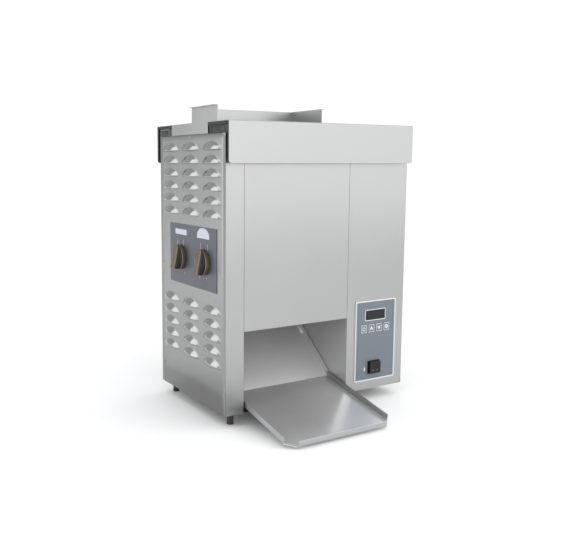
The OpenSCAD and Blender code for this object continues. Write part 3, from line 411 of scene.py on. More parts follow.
# The cable gland: a black nylon bush with a flanged nut and a ribbed, tapered nose, clamped in the
# rear panel. The lead that would pass through it is left out, so its bore is open.
gland_nylon = grouped_material(
    "gland_nylon", moulded, 0.15, 0.0, Colour=(0.03, 0.03, 0.03), Grain=1400.0, Dust=0.06, Shine=0.42)
gland_low, gland_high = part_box("cable_gland")
gland_mid = ((gland_low.x + gland_high.x) / 2, 0, (gland_low.z + gland_high.z) / 2)
back_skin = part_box("rear_panel")[1].y * 1000
gland_profile = [[-9.2, 4.0], [-9.2, 8.0], [-7.2, 8.0], [-7.2, 11.0], [-1.4, 11.0], [-1.2, 8.0],
                 [0, 8.0], [0, 10.6], [0.4, 11.0], [3.6, 11.0], [4.0, 10.6], [4.0, 9.0]]
for rib in range(4):
    step = 2.1 * rib
    gland_profile += [[4.4 + step, 8.9 - 0.55 * rib], [5.6 + step, 8.7 - 0.55 * rib],
                      [5.8 + step, 8.0 - 0.5 * rib], [6.3 + step, 7.9 - 0.5 * rib]]
gland_profile += [[12.9, 6.4], [13.0, 6.0], [13.0, 4.4], [12.6, 4.0]]
gland_profile = np.array(gland_profile)
gland_profile[:, 0] += back_skin
gland_points = turned(gland_mid, 1, np.concatenate([gland_profile, gland_profile[:1]]) / 1000)
joined("ribbed_gland", [gland_points], gland_nylon, "root", ["cable_gland"])

# The hood: an inverted trough of satin sheet that lifts straight off, with two bun slots in its top.
# Black rubber edging lines both open ends, around a bright inner flange.
hood_steel = grouped_material(
    "hood_steel", satin, 0.08, 1.0, Colour=(0.39, 0.39, 0.39), Grain=850.0, Patches=0.08, Shine=0.34)
finish_node(hood_steel, "hood", "bun_feeder")
seal_rubber = grouped_material(
    "seal_rubber", moulded, 0.2, 0.0, Colour=(0.012, 0.012, 0.013), Grain=1500.0, Dust=0.03, Shine=0.40)


def edging(path, across, x_out, x_in):
    """A strip with a grooved outer face that follows a path in y and z. Each station holds the same
    section: its width runs across the path's own direction, and the groove sinks in along x."""
    path = np.asarray(path, float)
    way = np.gradient(path, axis=0)
    way /= np.linalg.norm(way, axis=1, keepdims=True)
    side = np.stack([way[:, 1], -way[:, 0]], axis=1)
    depth = x_in - x_out
    section = np.array([[0, 1], [0, 0.03], [0.1, 0], [0.36, 0], [0.42, 0.12],
                        [0.62, 0.12], [0.68, 0], [0.9, 0], [1, 0.03], [1, 1]])
    points = np.zeros((len(path), len(section), 3))
    points[..., 0] = x_out + section[:, 1] * depth
    points[..., 1:] = path[:, None, :] + side[:, None, :] * (section[:, 0] * across)[None, :, None]
    return points


seal_low, seal_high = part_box("hood_end_seals")
front_block_low, front_block_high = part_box("hood_spacers_front")
rear_block_low, rear_block_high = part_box("hood_spacers_rear")
edging_width, edging_depth, corner_round = 0.005, 0.010, 0.0035
front_run = [(seal_low.y, seal_low.z), (seal_low.y, seal_low.z + 0.03),
             (seal_low.y, seal_high.z - corner_round), (seal_low.y + 0.001, seal_high.z - 0.001),
             (seal_low.y + corner_round, seal_high.z),
             (front_block_high.y - 0.02, seal_high.z), (front_block_high.y + 0.0004, seal_high.z)]
rear_run = [(rear_block_low.y - 0.0004, seal_high.z), (rear_block_low.y + 0.02, seal_high.z),
            (seal_high.y - corner_round, seal_high.z), (seal_high.y - 0.001, seal_high.z - 0.001),
            (seal_high.y, seal_high.z - corner_round), (seal_high.y, seal_low.z + 0.03),
            (seal_high.y, seal_low.z)]
edges = []
for x_out, x_in in ((seal_low.x, seal_low.x + edging_depth), (seal_high.x, seal_high.x - edging_depth)):
    for run in (front_run, rear_run):
        edges.append(edging(run, edging_width, x_out, x_in))
joined("hood_edging", edges, seal_rubber, "hood", ["hood_end_seals"], capped=True)

flange_thick = 0.0011
flange_strips = []
for x_out, x_in in ((seal_low.x + 0.0006, seal_low.x + 0.009), (seal_high.x - 0.0006, seal_high.x - 0.009)):
    for y in (seal_low.y + 0.00195, seal_high.y - 0.00305):
        line = np.array([[x_out, y], [x_out, y + flange_thick], [x_in, y + flange_thick], [x_in, y]])
        ends = np.array([seal_low.z + 0.002, seal_high.z - 0.006])
        part = np.zeros((2, 4, 3))
        part[..., :2], part[..., 2] = line, ends[:, None]
        flange_strips.append(part)
joined("hood_inner_flange", flange_strips, hood_steel, "hood", capped=True)

# The hood's carriers: black moulded blocks on the side panels' top flanges. The front pair is glossy,
# with two upright half-round ribs; the rear pair is a square tube with a thin bright liner.
carrier_plastic = grouped_material(
    "carrier_plastic", moulded, 0.10, 0.0, constants={"Specular IOR Level": 0.35},
    Colour=(0.012, 0.012, 0.013), Grain=1300.0, Dust=0.02, Shine=0.20)
quarter_points = 6
loop_points = 4 * quarter_points


def soft_loop(half_a, half_b, radius):
    """A rounded rectangle's outline, anticlockwise: four quarter circles round the corner centres."""
    angle = (np.linspace(0, np.pi / 2, quarter_points)[None, :] + np.arange(4)[:, None] * np.pi / 2).ravel()
    quarter = np.repeat(np.array([[1, 1], [-1, 1], [-1, -1], [1, -1]]), quarter_points, axis=0)
    middle = quarter * (np.array([half_a, half_b]) - radius)
    return middle + radius * np.stack([np.cos(angle), np.sin(angle)], axis=1)


def soft_block(low, high, axis, radius, edge):
    """A block between two corners, with rounded long corners and eased ends along one axis."""
    low, high = np.asarray(low, float), np.asarray(high, float)
    a, b = [(1, 2), (2, 0), (0, 1)][axis]
    half_a, half_b = (high[a] - low[a]) / 2, (high[b] - low[b]) / 2
    ease = np.array([[0, 1], [0, 0.999], [0.3, 0.3], [1, 0]])
    stations = [(low[axis] + e * edge, i * edge) for e, i in ease]
    stations += [(high[axis] - e * edge, i * edge) for e, i in ease[::-1]]
    points = np.zeros((len(stations) + 2, loop_points, 3))
    for row, (along, inset) in enumerate([(low[axis], None)] + stations + [(high[axis], None)]):
        loop = np.zeros((loop_points, 2))
        if inset is not None:
            loop = soft_loop(half_a - inset, half_b - inset, max(radius - inset, 1e-5))
        points[row, :, axis] = along
        points[row, :, a] = (low[a] + high[a]) / 2 + loop[:, 0]
        points[row, :, b] = (low[b] + high[b]) / 2 + loop[:, 1]
    return points


front_parts, rear_parts, liner_parts = [], [], []
carrier_top = seal_high.z - 0.0048
for side in (-1, 1):
    outer = front_block_low.x if side < 0 else front_block_high.x
    x0, x1 = sorted((outer - side * 0.0012, outer - side * 0.018))
    for group, low, high in ((front_parts, front_block_low, front_block_high),
                             (rear_parts, rear_block_low, rear_block_high)):
        group.append(soft_block((x0, low.y, low.z), (x1, high.y, carrier_top), 0, 0.0015, 0.0006))
    rib_foot, rib_radius = front_block_low.z + 0.001, 0.0026
    for rib_y in (front_block_low.y + 0.0125, front_block_high.y - 0.011):
        front_parts.append(turned((outer - side * 0.0030, rib_y, 0), 2, [
            [rib_foot, 0], [rib_foot, rib_radius], [carrier_top - 0.0015, rib_radius],
            [carrier_top - 0.0005, 0.0018], [carrier_top - 0.0005, 0]], 32))
    face = outer - side * 0.0008
    liner_back, liner_front = rear_block_high.y - 0.007, rear_block_low.y + 0.014
    liner_foot, liner_top = rear_block_low.z + 0.001, carrier_top - 0.0022
    run = [(liner_back, liner_foot), (liner_back, liner_top),
           (liner_front, liner_top), (liner_front, liner_foot)]
    for (ya, za), (yb, zb) in zip(run[:-1], run[1:]):
        lo = (min(face, face + side * -0.002), min(ya, yb) - 0.0005, min(za, zb) - 0.0005)
        hi = (max(face, face + side * -0.002), max(ya, yb) + 0.0005, max(za, zb) + 0.0005)
        liner_parts.append(soft_block(lo, hi, 0, 0.0003, 0.0001))
joined("front_carriers", front_parts, carrier_plastic, "hood", ["hood_spacers_front"])
joined("rear_carriers", rear_parts, carrier_plastic, "hood", ["hood_spacers_rear"])
joined("carrier_liner", liner_parts, hood_steel, "hood")

# The landing tray: satin sheet with three lips turned up on a brake and its front corners cut off.
# It slopes forward, slides in over two supports and pulls out by hand. Its lips are the same sheet as its
# floor, in a darker copy of the steel that is painted shade.
tray_steel = grouped_material(
    "tray_steel", satin, 0.22, 0.72,
    Colour=(0.84, 0.84, 0.85), Grain=1500.0, Patches=0.06, Shine=0.24, Drawn=0.0)
tray_low, tray_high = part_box("landing_tray")
tilt = math.radians(11.4)
lip, chamfer, bend = 0.012, 0.0187, 0.0022
tray_reach = (tray_high.y - tray_low.y - lip * math.sin(tilt)) / math.cos(tilt)
tray_front = np.array([0, tray_low.y + lip * math.sin(tilt), tray_low.z])


def on_tray(points):
    """Points of the flat tray (x across, y up its slope, z square to it) turned and moved into place."""
    points = np.asarray(points, float)
    y, z = points[..., 1], points[..., 2]
    forward = y * math.cos(tilt) - z * math.sin(tilt)
    upward = y * math.sin(tilt) + z * math.cos(tilt)
    return np.stack([points[..., 0], forward, upward], axis=-1) + tray_front


def lip_section(turn=7):
    """A bent strip's closed section, from the flat at bend distance to the lip's top: the outside line,
    a small round at the top, then the inside line back. Columns are (inwards, up)."""
    angle = np.linspace(0, np.pi / 2, turn)
    outside = np.stack([bend - bend * np.sin(angle), bend - bend * np.cos(angle)], axis=1)
    back, inner_bend, eased = angle[::-1], bend - sheet_thick, 0.0003
    inside = np.stack([bend - inner_bend * np.sin(back), bend - inner_bend * np.cos(back)], axis=1)
    top = np.array([[0, lip - eased], [eased, lip], [sheet_thick - eased, lip], [sheet_thick, lip - eased]])
    return np.concatenate([outside, top, inside])


section = lip_section()
x0, x1 = tray_low.x, tray_high.x
lips = []
stations = np.array([chamfer, tray_reach])
for edge, inwards in ((x0, 1), (x1, -1)):
    part = np.zeros((2, len(section), 3))
    part[..., 0] = edge + inwards * section[:, 0]
    part[..., 1] = stations[:, None]
    part[..., 2] = section[:, 1]
    lips.append(on_tray(part))
part = np.zeros((2, len(section), 3))
part[..., 0] = np.array([x0 + chamfer, x1 - chamfer])[:, None]
part[..., 1] = section[:, 0]
part[..., 2] = section[:, 1]
lips.append(on_tray(part))
half_outline = [(chamfer, bend), (chamfer, 0), (chamfer - 0.0001, 0), (0, chamfer - 0.0001),
                (0, chamfer), (bend, chamfer), (bend, tray_reach)]
outline = [(x0 + across, along) for across, along in half_outline]
outline += [(x1 - across, along) for across, along in half_outline[::-1]]
part = np.zeros((2, len(outline), 3))
part[..., :2] = outline
part[..., 2] = np.array([0, sheet_thick])[:, None]
joined("folded_tray", [on_tray(part)], tray_steel, "tray", ["landing_tray"], capped=True)
# painted shade: the lips' steel is the floor's steel made darker, though both are one sheet
lip_shaded_steel = grouped_material(
    "lip_shaded_steel", satin, 0.06, 0.85,
    Colour=(0.46, 0.46, 0.465), Grain=1500.0, Patches=0.06, Shine=0.32, Drawn=0.0)
joined("tray_lips", lips, lip_shaded_steel, "tray", ["landing_tray"], capped=True)

# The bun slide and its clip: a steeper satin sheet with side lips, which carries the buns forward,
# and a small white nylon clip that holds its right lip.
slide_steel = grouped_material(
    "slide_steel", satin, 0.30, 0.50,
    Colour=(0.78, 0.78, 0.79), Grain=800.0, Patches=0.12, Shine=0.40, Drawn=0.0)
finish_node(slide_steel, "bun_slide")
clip_nylon = grouped_material(
    "clip_nylon", moulded, 0.1, 0.0, Colour=(0.92, 0.92, 0.92), Grain=1400.0, Dust=0.02, Shine=0.45)
clip_low, clip_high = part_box("slide_clip")
lean, clip_length, clip_thick = math.radians(39.5), 0.020, 0.0032
clip = soft_block((clip_low.x, 0, -clip_thick), (clip_high.x, clip_length, 0), 1, 0.0008, 0.0004)
along, square = clip[..., 1].copy(), clip[..., 2].copy()
clip[..., 1] = clip_low.y + along * math.cos(lean) - square * math.sin(lean)
clip[..., 2] = clip_low.z + sheet_thick * math.cos(lean) + along * math.sin(lean) + square * math.cos(lean)
joined("nylon_clip", [clip], clip_nylon, "root", ["slide_clip"])

# The control panel: a light moulded frame round a blue-grey printed film, a smoked display window
# and its board behind. The window has a thin light border printed on the film.
frame_silver = grouped_material(
    "frame_silver", moulded, 0.08, 0.0, Colour=(0.60, 0.61, 0.63), Grain=1500.0, Dust=0.02, Shine=0.42)
finish_node(frame_silver, "panel_frame")
overlay_film = grouped_material(
    "overlay_film", moulded, 0.10, 0.0, Colour=(0.135, 0.158, 0.188), Grain=1900.0, Dust=0.02, Shine=0.50)
finish_node(overlay_film, "panel_overlay", "key_mode", "key_up", "key_down", "key_start")
smoked_lens = grouped_material(
    "smoked_lens", moulded, 0.02, 0.0, constants={"Specular IOR Level": 0.25},
    Colour=(0.014, 0.014, 0.014), Grain=300.0, Dust=0.01, Shine=0.16)
finish_node(smoked_lens, "display_window")
board_mask = grouped_material(
    "board_mask", moulded, 0.3, 0.0, Colour=(0.02, 0.12, 0.05), Grain=420.0, Dust=0.08, Shine=0.35)
finish_node(board_mask, "display_board", "control_board")
light_ink = grouped_material(
    "light_ink", moulded, 0.05, 0.0, Colour=(0.62, 0.65, 0.69), Grain=2400.0, Dust=0.03, Shine=0.50)


def inked(name, shapes, material, body, plane, skin, proud=0.00006, sunk=0.00002):
    """Print on a flat face, as one thin raised piece. Each shape is an outer and an inner outline of
    equal length; the ink fills what lies between. plane is "front" (x, z) or "side" (y, z)."""
    points, faces, start = [], [], 0
    for outer, inner in shapes:
        outer, inner = np.asarray(outer, float), np.asarray(inner, float)
        flat = np.stack([outer, outer, inner, inner])
        level = np.array([skin + sunk, skin - proud, skin - proud, skin + sunk])
        level = level[:, None] * np.ones(len(outer))
        if plane == "front":
            points.append(np.stack([flat[..., 0], level, flat[..., 1]], axis=-1).reshape(-1, 3))
        else:
            points.append(np.stack([level, flat[..., 0], flat[..., 1]], axis=-1).reshape(-1, 3))
        faces.extend((grid_faces(4, len(outer), True, True) + start).tolist())
        start += 4 * len(outer)
    return make_piece(name, np.concatenate(points), faces, material, body, smooth=False)


def ring(middle, half_a, half_b, radius, line):
    """A rounded rectangle's line of even width: its outer and inner outlines round a middle point."""
    middle = np.asarray(middle, float)
    inner = soft_loop(half_a - line, half_b - line, max(radius - line, 1e-5))
    return soft_loop(half_a, half_b, radius) + middle, inner + middle


def solid_shape(middle, outline):
    """A filled outline, drawn down to its middle point."""
    middle, outline = np.asarray(middle, float), np.asarray(outline, float)
    return outline + middle, np.zeros_like(outline) + middle


def round_loop(radius, count=24):
    """A circle's outline: the cosine and sine of evenly spaced angles, times the radius."""
    angle = np.linspace(0, 2 * np.pi, count, endpoint=False)
    return radius * np.stack([np.cos(angle), np.sin(angle)], axis=1)


def mid_and_half(name, a, b):
    """The middle of a node's box and its half sizes, along two named axes."""
    low, high = [np.array([getattr(corner, a), getattr(corner, b)]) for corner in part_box(name)]
    return (low + high) / 2, (high - low) / 2


film_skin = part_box("panel_overlay")[0].y
glass_mid, (half_x, half_z) = mid_and_half("display_window", "x", "z")
border = ring(glass_mid, half_x + 0.0019, half_z + 0.0019, 0.0018, 0.0015)
inked("window_border", [border], light_ink, "root", "front", film_skin)

# The four keys: spring-backed caps under the film, each outlined in light ink with its own sign: a
# dial with corner dots, an arrow up, an arrow down and a lozenge with a dot.
arrow = np.array([[0, 5.2], [2.6, 0.6], [4.6, -4.2], [1.6, -2.4],
                  [0, -1.5], [-1.6, -2.4], [-4.6, -4.2], [-2.6, 0.6]]) / 1000
lozenge = np.array([[0, 4.9], [3.3, 2.9], [4.7, 0], [3.3, -2.9],
                    [0, -4.7], [-3.3, -2.9], [-4.7, 0], [-3.3, 2.9]]) / 1000
for key_name in ("mode", "up", "down", "start"):
    cap_mid, (half_x, half_z) = mid_and_half("key_" + key_name, "x", "z")
    cap_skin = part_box("key_" + key_name)[0].y
    signs = [ring(cap_mid, half_x - 0.0003, half_z - 0.0003, 0.0014, 0.0009)]
    if key_name == "mode":
        signs.append((round_loop(0.0041) + cap_mid, round_loop(0.0027) + cap_mid))
        for corner_x, corner_z in ((-1, 1), (1, 1), (-1, -1), (1, -1)):
            dot_mid = cap_mid + (corner_x * 0.0043, corner_z * 0.0062)
            signs.append(solid_shape(dot_mid, round_loop(0.0007, 12)))
    elif key_name == "up":
        signs.append(solid_shape(cap_mid, arrow))
    elif key_name == "down":
        signs.append(solid_shape(cap_mid, arrow * (1, -1)))
    else:
        signs.append((lozenge + cap_mid, lozenge * 0.52 + cap_mid))
        signs.append(solid_shape(cap_mid, round_loop(0.0012, 12)))
    inked("sign_" + key_name, signs, light_ink, "key_" + key_name + "_cap", "front", cap_skin)

# The power switch: a black moulded body in the panel and a deep rocker that tips about an upright
# pin, with a dished face and two small dots. A light mark beside it shows the "on" side.
switch_plastic = grouped_material(
    "switch_plastic", moulded, 0.12, 0.0, constants={"Specular IOR Level": 0.22},
    Colour=(0.012, 0.012, 0.012), Grain=1300.0, Dust=0.02, Shine=0.34)
finish_node(switch_plastic, "switch_housing")
cap_mid, (half_x, half_z) = mid_and_half("switch_rocker", "x", "z")
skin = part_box("switch_rocker")[0].y
dish = np.array([[3.2, 14.5], [3.2, 0], [1.1, 0], [0.4, 0.3], [0.1, 0.8],
                 [0, 1.6], [0.2, 2.8], [0.6, 4.8], [0.9, 7.5], [1.0, 12.7]]) / 1000
rocker_points = np.zeros((len(dish), loop_points, 3))
for row, (sunk, inset) in enumerate(dish):
    corner = max(0.0032 - inset * 0.5, 5e-6) if inset < 0.012 else 5e-6
    loop = soft_loop(max(half_x - inset, 1e-5), max(half_z - inset, 1e-5), corner)
    level = np.full(loop_points, skin + sunk)
    rocker_points[row] = np.stack([loop[:, 0] + cap_mid[0], level, loop[:, 1] + cap_mid[1]], axis=1)
stem = soft_block((cap_mid[0] - 0.0105, skin + 0.0030, cap_mid[1] - 0.010),
                  (cap_mid[0] + 0.0105, skin + 0.012, cap_mid[1] + 0.010), 1, 0.001, 0.0003)
pin_low, pin_high = cap_mid[1] - 0.0114, cap_mid[1] + 0.0114
pin_profile = [[pin_low, 0], [pin_low, 0.0015], [pin_high, 0.0015], [pin_high, 0]]
pin = turned((cap_mid[0], skin + 0.009, 0), 2, pin_profile, 24)
joined("rocker", [rocker_points, stem, pin], switch_plastic, "rocker", ["switch_rocker"])
dot_ink = grouped_material(
    "dot_ink", moulded, 0.05, 0.0, Colour=(0.20, 0.20, 0.20), Grain=2400.0, Dust=0.03, Shine=0.45)
dots = [solid_shape(cap_mid + (side * 0.0056, -0.0060), round_loop(0.0011, 16)) for side in (-1, 1)]
inked("rocker_dots", dots, dot_ink, "rocker", "front", skin + 0.00075, 0.0002)
lens_z = np.linspace(-1, 1, 9)
lens = np.concatenate([np.stack([0.0022 * (1 - lens_z ** 2), 0.0054 * lens_z], axis=1),
                       np.stack([-0.0014 * (1 - lens_z[::-1] ** 2), 0.0054 * lens_z[::-1]], axis=1)[1:-1]])
inked("on_mark", [solid_shape(cap_mid + (-0.0244, -0.0028), lens)], light_ink, "root", "front", film_skin)

# The knob plate: a printed blue-grey film on thin metal, with a light slab over the rear knob for the
# heel, a light dome over the front knob for the crown, and fine setting marks round both.
plate_film = grouped_material(
    "plate_film", moulded, 0.10, 0.0, Colour=(0.070, 0.078, 0.098), Grain=1900.0, Dust=0.04, Shine=0.36)
finish_node(plate_film, "knob_plate")
plate_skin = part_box("knob_plate")[0].x

dotted_ink, tint_tree, tint_shader = start_material("dotted_ink", 0.0, 0.5)
tint_where = tint_tree.nodes.new("ShaderNodeTexCoord")
split = tint_tree.nodes.new("ShaderNodeSeparateXYZ")
tint_tree.links.new(tint_where.outputs["Object"], split.inputs["Vector"])
waves = [calc(tint_tree, "SINE", calc(tint_tree, "MULTIPLY", split.outputs[way], 2400.0)) for way in "YZ"]
weave = calc(tint_tree, "MULTIPLY", *waves)
shaded = calc(tint_tree, "MULTIPLY_ADD", weave, 0.5, 0.5)
dot_colour = blend_colours(tint_tree, shaded, (0.66, 0.68, 0.76), (0.44, 0.46, 0.54))
tint_tree.links.new(dot_colour, tint_shader.inputs["Base Color"])

crown_mid = mid_and_half("crown_knob", "y", "z")[0]
heel_mid = mid_and_half("heel_knob", "y", "z")[0]
slab = soft_loop(0.0250, 0.0054, 0.0006)
arc = np.linspace(0, np.pi, 23)
dome = np.stack([0.0248 * np.cos(arc), 0.0193 * np.sin(arc) ** 0.75], axis=1)
dome = np.concatenate([dome, [[-0.0243, -0.0008], [0.0243, -0.0008]]])
for print_name, middle, shape in (("heel_slab", heel_mid + (0, 0.0505), slab),
                                  ("crown_dome", crown_mid + (0.0038, 0.0456), dome)):
    inked(print_name, [solid_shape(middle, shape)], dotted_ink, "root", "side", plate_skin)
long_line = np.array([[0.4, 7.5], [-0.4, 7.5], [-0.6, -7.5], [0.6, -7.5]]) / 1000
short_line = np.array([[0.4, 3], [-0.4, 3], [-0.4, -3], [0.4, -3]]) / 1000
red_block = np.array([[2.6, 1.0], [-2.6, 1.0], [-2.0, -1.2], [2.0, -1.2]]) / 1000
line_up, dot_up, line_down = 0.0280, 0.0222, -0.0310
marks = []
for middle, across in ((heel_mid, (0.0150, -0.0110)), (crown_mid, (0.0145, -0.0142))):
    for step in across:
        marks.append(solid_shape(middle + (step, line_up), long_line))
        marks.append(solid_shape(middle + (step, dot_up), round_loop(0.0011, 12)))
for middle, step in ((heel_mid, -0.0165), (crown_mid, 0.0190), (crown_mid, -0.0100)):
    marks.append(solid_shape(middle + (step, line_down), short_line))
inked("setting_marks", marks, light_ink, "root", "side", plate_skin)
red_ink = grouped_material(
    "red_ink", moulded, 0.05, 0.0, Colour=(0.30, 0.03, 0.03), Grain=2400.0, Dust=0.03, Shine=0.45)
red_mid = crown_mid + (-0.0030, -0.0246)
inked("red_mark", [solid_shape(red_mid, red_block)], red_ink, "root", "side", plate_skin)

# The two adjusting knobs: brown moulded plastic, worn tan on the bar and the rim. Each is a disc with
# a bar that deepens downwards from its pointer, and a scooped hollow on either side.
knob_skin, given, out = start_group(
    "worn_knob", {"Vector": None, "Mark": 0.0, "Colour": (0.05, 0.036, 0.02, 1), "Shine": 0.42},
    ["Colour", "Roughness", "Height"])
streak = noise(knob_skin, given["Vector"], 190.0, 3.0, (1.0, 3.2, 0.35))
rubbed = calc(knob_skin, "MULTIPLY_ADD", around_half(knob_skin, streak), 0.30, given["Mark"])
clamp = knob_skin.nodes.new("ShaderNodeClamp")
knob_skin.links.new(rubbed, clamp.inputs["Value"])
rubbed_tan = blend_colours(knob_skin, clamp.outputs["Result"], given["Colour"], (0.27, 0.215, 0.150))
knob_skin.links.new(rubbed_tan, out["Colour"])
knob_skin.links.new(calc(knob_skin, "MULTIPLY_ADD", given["Mark"], 0.12, given["Shine"]), out["Roughness"])
knob_skin.links.new(noise(knob_skin, given["Vector"], 1500.0, 2.0), out["Height"])
knob_plastic = grouped_material(
    "knob_plastic", knob_skin, 0.15, 0.0, constants={"Specular IOR Level": 0.3},
    Colour=(0.022, 0.016, 0.010), Shine=0.42)
knob_tree, worn, knob_inputs = mark_of(knob_plastic)
knob_tree.links.new(worn, knob_inputs["Mark"])


def knob_body(low, high, rows=72):
    """A knob's closed surface and its wear. Every row is one slice across the bar at a height on the
    disc; its half width is the circle's chord, the bar keeps its own width, and the hollow's depth
    falls smoothly from the bar's foot and rises again to the rim. spread widens the whole knob."""
    middle_y, middle_z = (low.y + high.y) / 2, (low.z + high.z) / 2
    radius, half, edge, spread = (high.z - low.z) / 2, 0.0075, 0.0008, 1.08
    base = high.x if high.x - low.x < 0.0225 else low.x + 0.021
    up = np.cos(np.linspace(0, np.pi, rows)) * (radius - edge)
    chord = np.sqrt(np.maximum((radius - edge) ** 2 - up ** 2, 0))
    sunk = np.interp(up * 1000, [-23.5, -21.5, -19.5, 21.5, 23.5], [5.2, 3.0, 0, 10.0, 10.6]) / 1000
    top = base - low.x - sunk
    bar = np.minimum(half, chord)
    room = chord - bar
    rim, hollow = 0.0086, 0.0040
    deep = rim - (rim - hollow) * np.clip(room / 0.008, 0, 1)
    across = np.array([-1, -0.97, -0.9, -0.5, 0, 0.5, 0.9, 0.97, 1])
    drop = np.array([0.0006, 0.0002, 0, 0, 0, 0, 0, 0.0002, 0.0006])
    share = np.array([0.03, 0.08, 0.14, 0.20, 0.28, 0.38, 0.5, 0.62, 0.74, 0.84, 0.91, 0.955, 1.0])
    fall = np.clip(share / 0.26, 0, 1) ** 0.7
    rise = np.clip((share - 0.42) / 0.50, 0, 1)
    rise = rise * rise * (3 - 2 * rise)
    scoop = deep[:, None] + (rim - deep)[:, None] * rise[None, :]
    level = (1 - fall)[None, :] * (top - 0.0006)[:, None] + fall[None, :] * scoop
    right = bar[:, None] + room[:, None] * share[None, :]
    bar_y = bar[:, None] * across[None, :]
    bar_h = top[:, None] - drop[None, :]
    wide = chord > 1e-6
    wall_y = ((chord + 0.0005) * wide)[:, None]
    foot_y = (chord + edge * wide)[:, None]
    wall_h, foot_h = np.full((rows, 1), rim - 0.0012), np.zeros((rows, 1))
    y = np.concatenate([-foot_y, -wall_y, -right[:, ::-1], bar_y, right, wall_y, foot_y], axis=1)
    h = np.concatenate([foot_h, wall_h, level[:, ::-1], bar_h, level, wall_h, foot_h], axis=1)
    side_wear = np.array([0.10, 0, 0, 0, 0.05, 0.15, 0.25, 0.25, 0.2, 0.3, 0.8, 1, 0.8])
    bar_wear = [0.95, 0.9, 0.55, 0.42, 0.40, 0.42, 0.55, 0.9, 0.95]
    wear = np.concatenate([[0.10, 0.25], side_wear[::-1], bar_wear, side_wear, [0.25, 0.10]])
    points = np.stack([base - h, middle_y + spread * y, middle_z + spread * up[:, None] + 0 * y], axis=-1)
    return points, np.repeat(wear[None, :], rows, axis=0)


for knob_name in ("crown", "heel"):
    knob_points, knob_wear = knob_body(*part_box(knob_name + "_knob"))
    joined(knob_name + "_grip", [knob_points], knob_plastic, knob_name + "_knob_shaft",
           [knob_name + "_knob"], knob_wear)
pointer = solid_shape(crown_mid + (0.0010, 0.0160), round_loop(0.0010, 14))
pointer_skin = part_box("crown_knob")[0].x + 0.0084
inked("pointer_dot", [pointer], switch_plastic, "crown_knob_shaft", "side", pointer_skin, 0.0003)

# Shafts, bushes and heaters: turned steel cam shafts with snail cams, sintered bronze bushes, and
# straight sheathed elements coloured by heat.
shaft_steel = grouped_material(
    "shaft_steel", satin, 0.05, 1.0, Colour=(0.50, 0.50, 0.50), Grain=1600.0, Patches=0.10, Shine=0.24)
finish_node(shaft_steel, "crown_cam_shaft", "heel_cam_shaft")
bush_bronze = grouped_material(
    "bush_bronze", satin, 0.10, 1.0, Colour=(0.42, 0.28, 0.12), Grain=1900.0, Patches=0.3, Shine=0.35)
finish_node(bush_bronze, "cam_bushes", "drive_bushes")
element_sheath = grouped_material(
    "element_sheath", satin, 0.12, 1.0, Colour=(0.22, 0.20, 0.19), Grain=1200.0, Patches=0.5, Shine=0.45)
finish_node(element_sheath, "heating_elements")

# The two conveyors: folded side plates on the drive shafts, turned aluminium rollers and a coated
# woven belt round each pair.
finish_node(inner_steel, "crown_belt_frame", "heel_belt_frame")
roller_aluminium = grouped_material(
    "roller_aluminium", satin, 0.06, 1.0, Colour=(0.62, 0.62, 0.63), Grain=1500.0, Patches=0.12, Shine=0.26)
finish_node(roller_aluminium, "crown_drive_roller", "heel_drive_roller", "crown_idler_roller",
            "heel_idler_roller")
woven, given, out = start_group(
    "coated_weave", {"Vector": None, "Colour": (0.10, 0.07, 0.04, 1), "Threads": 1600.0, "Shine": 0.45},
    ["Colour", "Roughness", "Height"])
split = woven.nodes.new("ShaderNodeSeparateXYZ")
woven.links.new(given["Vector"], split.inputs["Vector"])
warp = calc(woven, "SINE", calc(woven, "MULTIPLY", split.outputs["X"], given["Threads"]))
weft = calc(woven, "SINE", calc(woven, "MULTIPLY", split.outputs["Z"], given["Threads"]))
over = calc(woven, "MULTIPLY_ADD", calc(woven, "MULTIPLY", warp, weft), 0.5, 0.5)
stain = noise(woven, given["Vector"], 30.0, 3.0)
tone = calc(woven, "MULTIPLY_ADD", over, 0.35, calc(woven, "MULTIPLY", stain, 0.5))
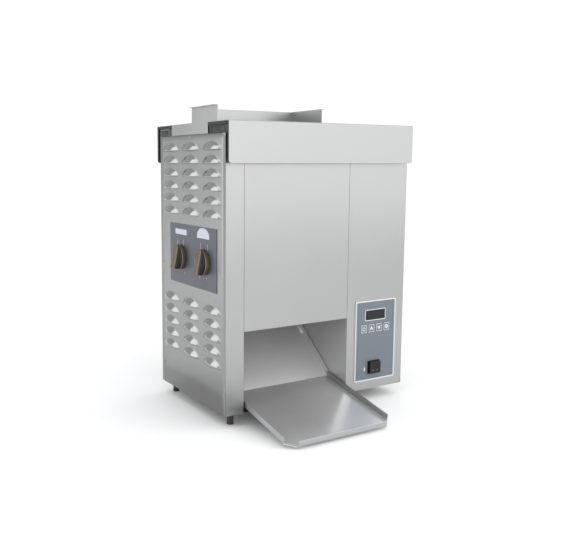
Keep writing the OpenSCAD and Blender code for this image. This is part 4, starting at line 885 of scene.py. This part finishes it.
woven.links.new(blend_colours(woven, tone, given["Colour"], (0.30, 0.22, 0.13)), out["Colour"])
woven.links.new(calc(woven, "MULTIPLY_ADD", stain, 0.2, given["Shine"]), out["Roughness"])
woven.links.new(over, out["Height"])
belt_weave = grouped_material(
    "belt_weave", woven, 0.5, 0.0, 0.0002, Colour=(0.085, 0.060, 0.035), Threads=1700.0, Shine=0.40)
finish_node(belt_weave, "crown_belt", "heel_belt")

# The drive: moulded nylon gears, a painted gear motor on its plate, and the axial fan behind the
# vent in the rear panel.
gear_nylon = grouped_material(
    "gear_nylon", moulded, 0.10, 0.0, Colour=(0.66, 0.64, 0.56), Grain=1300.0, Dust=0.10, Shine=0.42)
finish_node(gear_nylon, "crown_drive_gear", "heel_drive_gear", "motor_pinion", "terminal_block")
motor_paint = grouped_material(
    "motor_paint", moulded, 0.15, 0.3, Colour=(0.10, 0.105, 0.115), Grain=1100.0, Dust=0.15, Shine=0.40)
finish_node(motor_paint, "gear_motor")
finish_node(carrier_plastic, "fan_housing", "fan_rotor")

# The platen: two coated aluminium plates, straw-tinted by heat, over an edge frame that holds the
# elements, on four short brackets.
tinted_plate, given, out = start_group(
    "heat_tint", {"Vector": None, "Colour": (0.42, 0.41, 0.39, 1), "Tint": 0.4, "Shine": 0.35},
    ["Colour", "Roughness", "Height"])
bloom = noise(tinted_plate, given["Vector"], 14.0, 3.0)
straw = calc(tinted_plate, "MULTIPLY", bloom, given["Tint"])
straw_tint = blend_colours(tinted_plate, straw, given["Colour"], (0.26, 0.18, 0.10))
tinted_plate.links.new(straw_tint, out["Colour"])
tinted_plate.links.new(calc(tinted_plate, "MULTIPLY_ADD", bloom, 0.15, given["Shine"]), out["Roughness"])
tinted_plate.links.new(noise(tinted_plate, given["Vector"], 900.0, 2.0), out["Height"])
platen_coat = grouped_material(
    "platen_coat", tinted_plate, 0.08, 0.8, Colour=(0.40, 0.39, 0.37), Tint=0.9, Shine=0.30)
finish_node(platen_coat, "platen_front_plate", "platen_rear_plate")
finish_node(inner_steel, "platen_core", "platen_brackets")
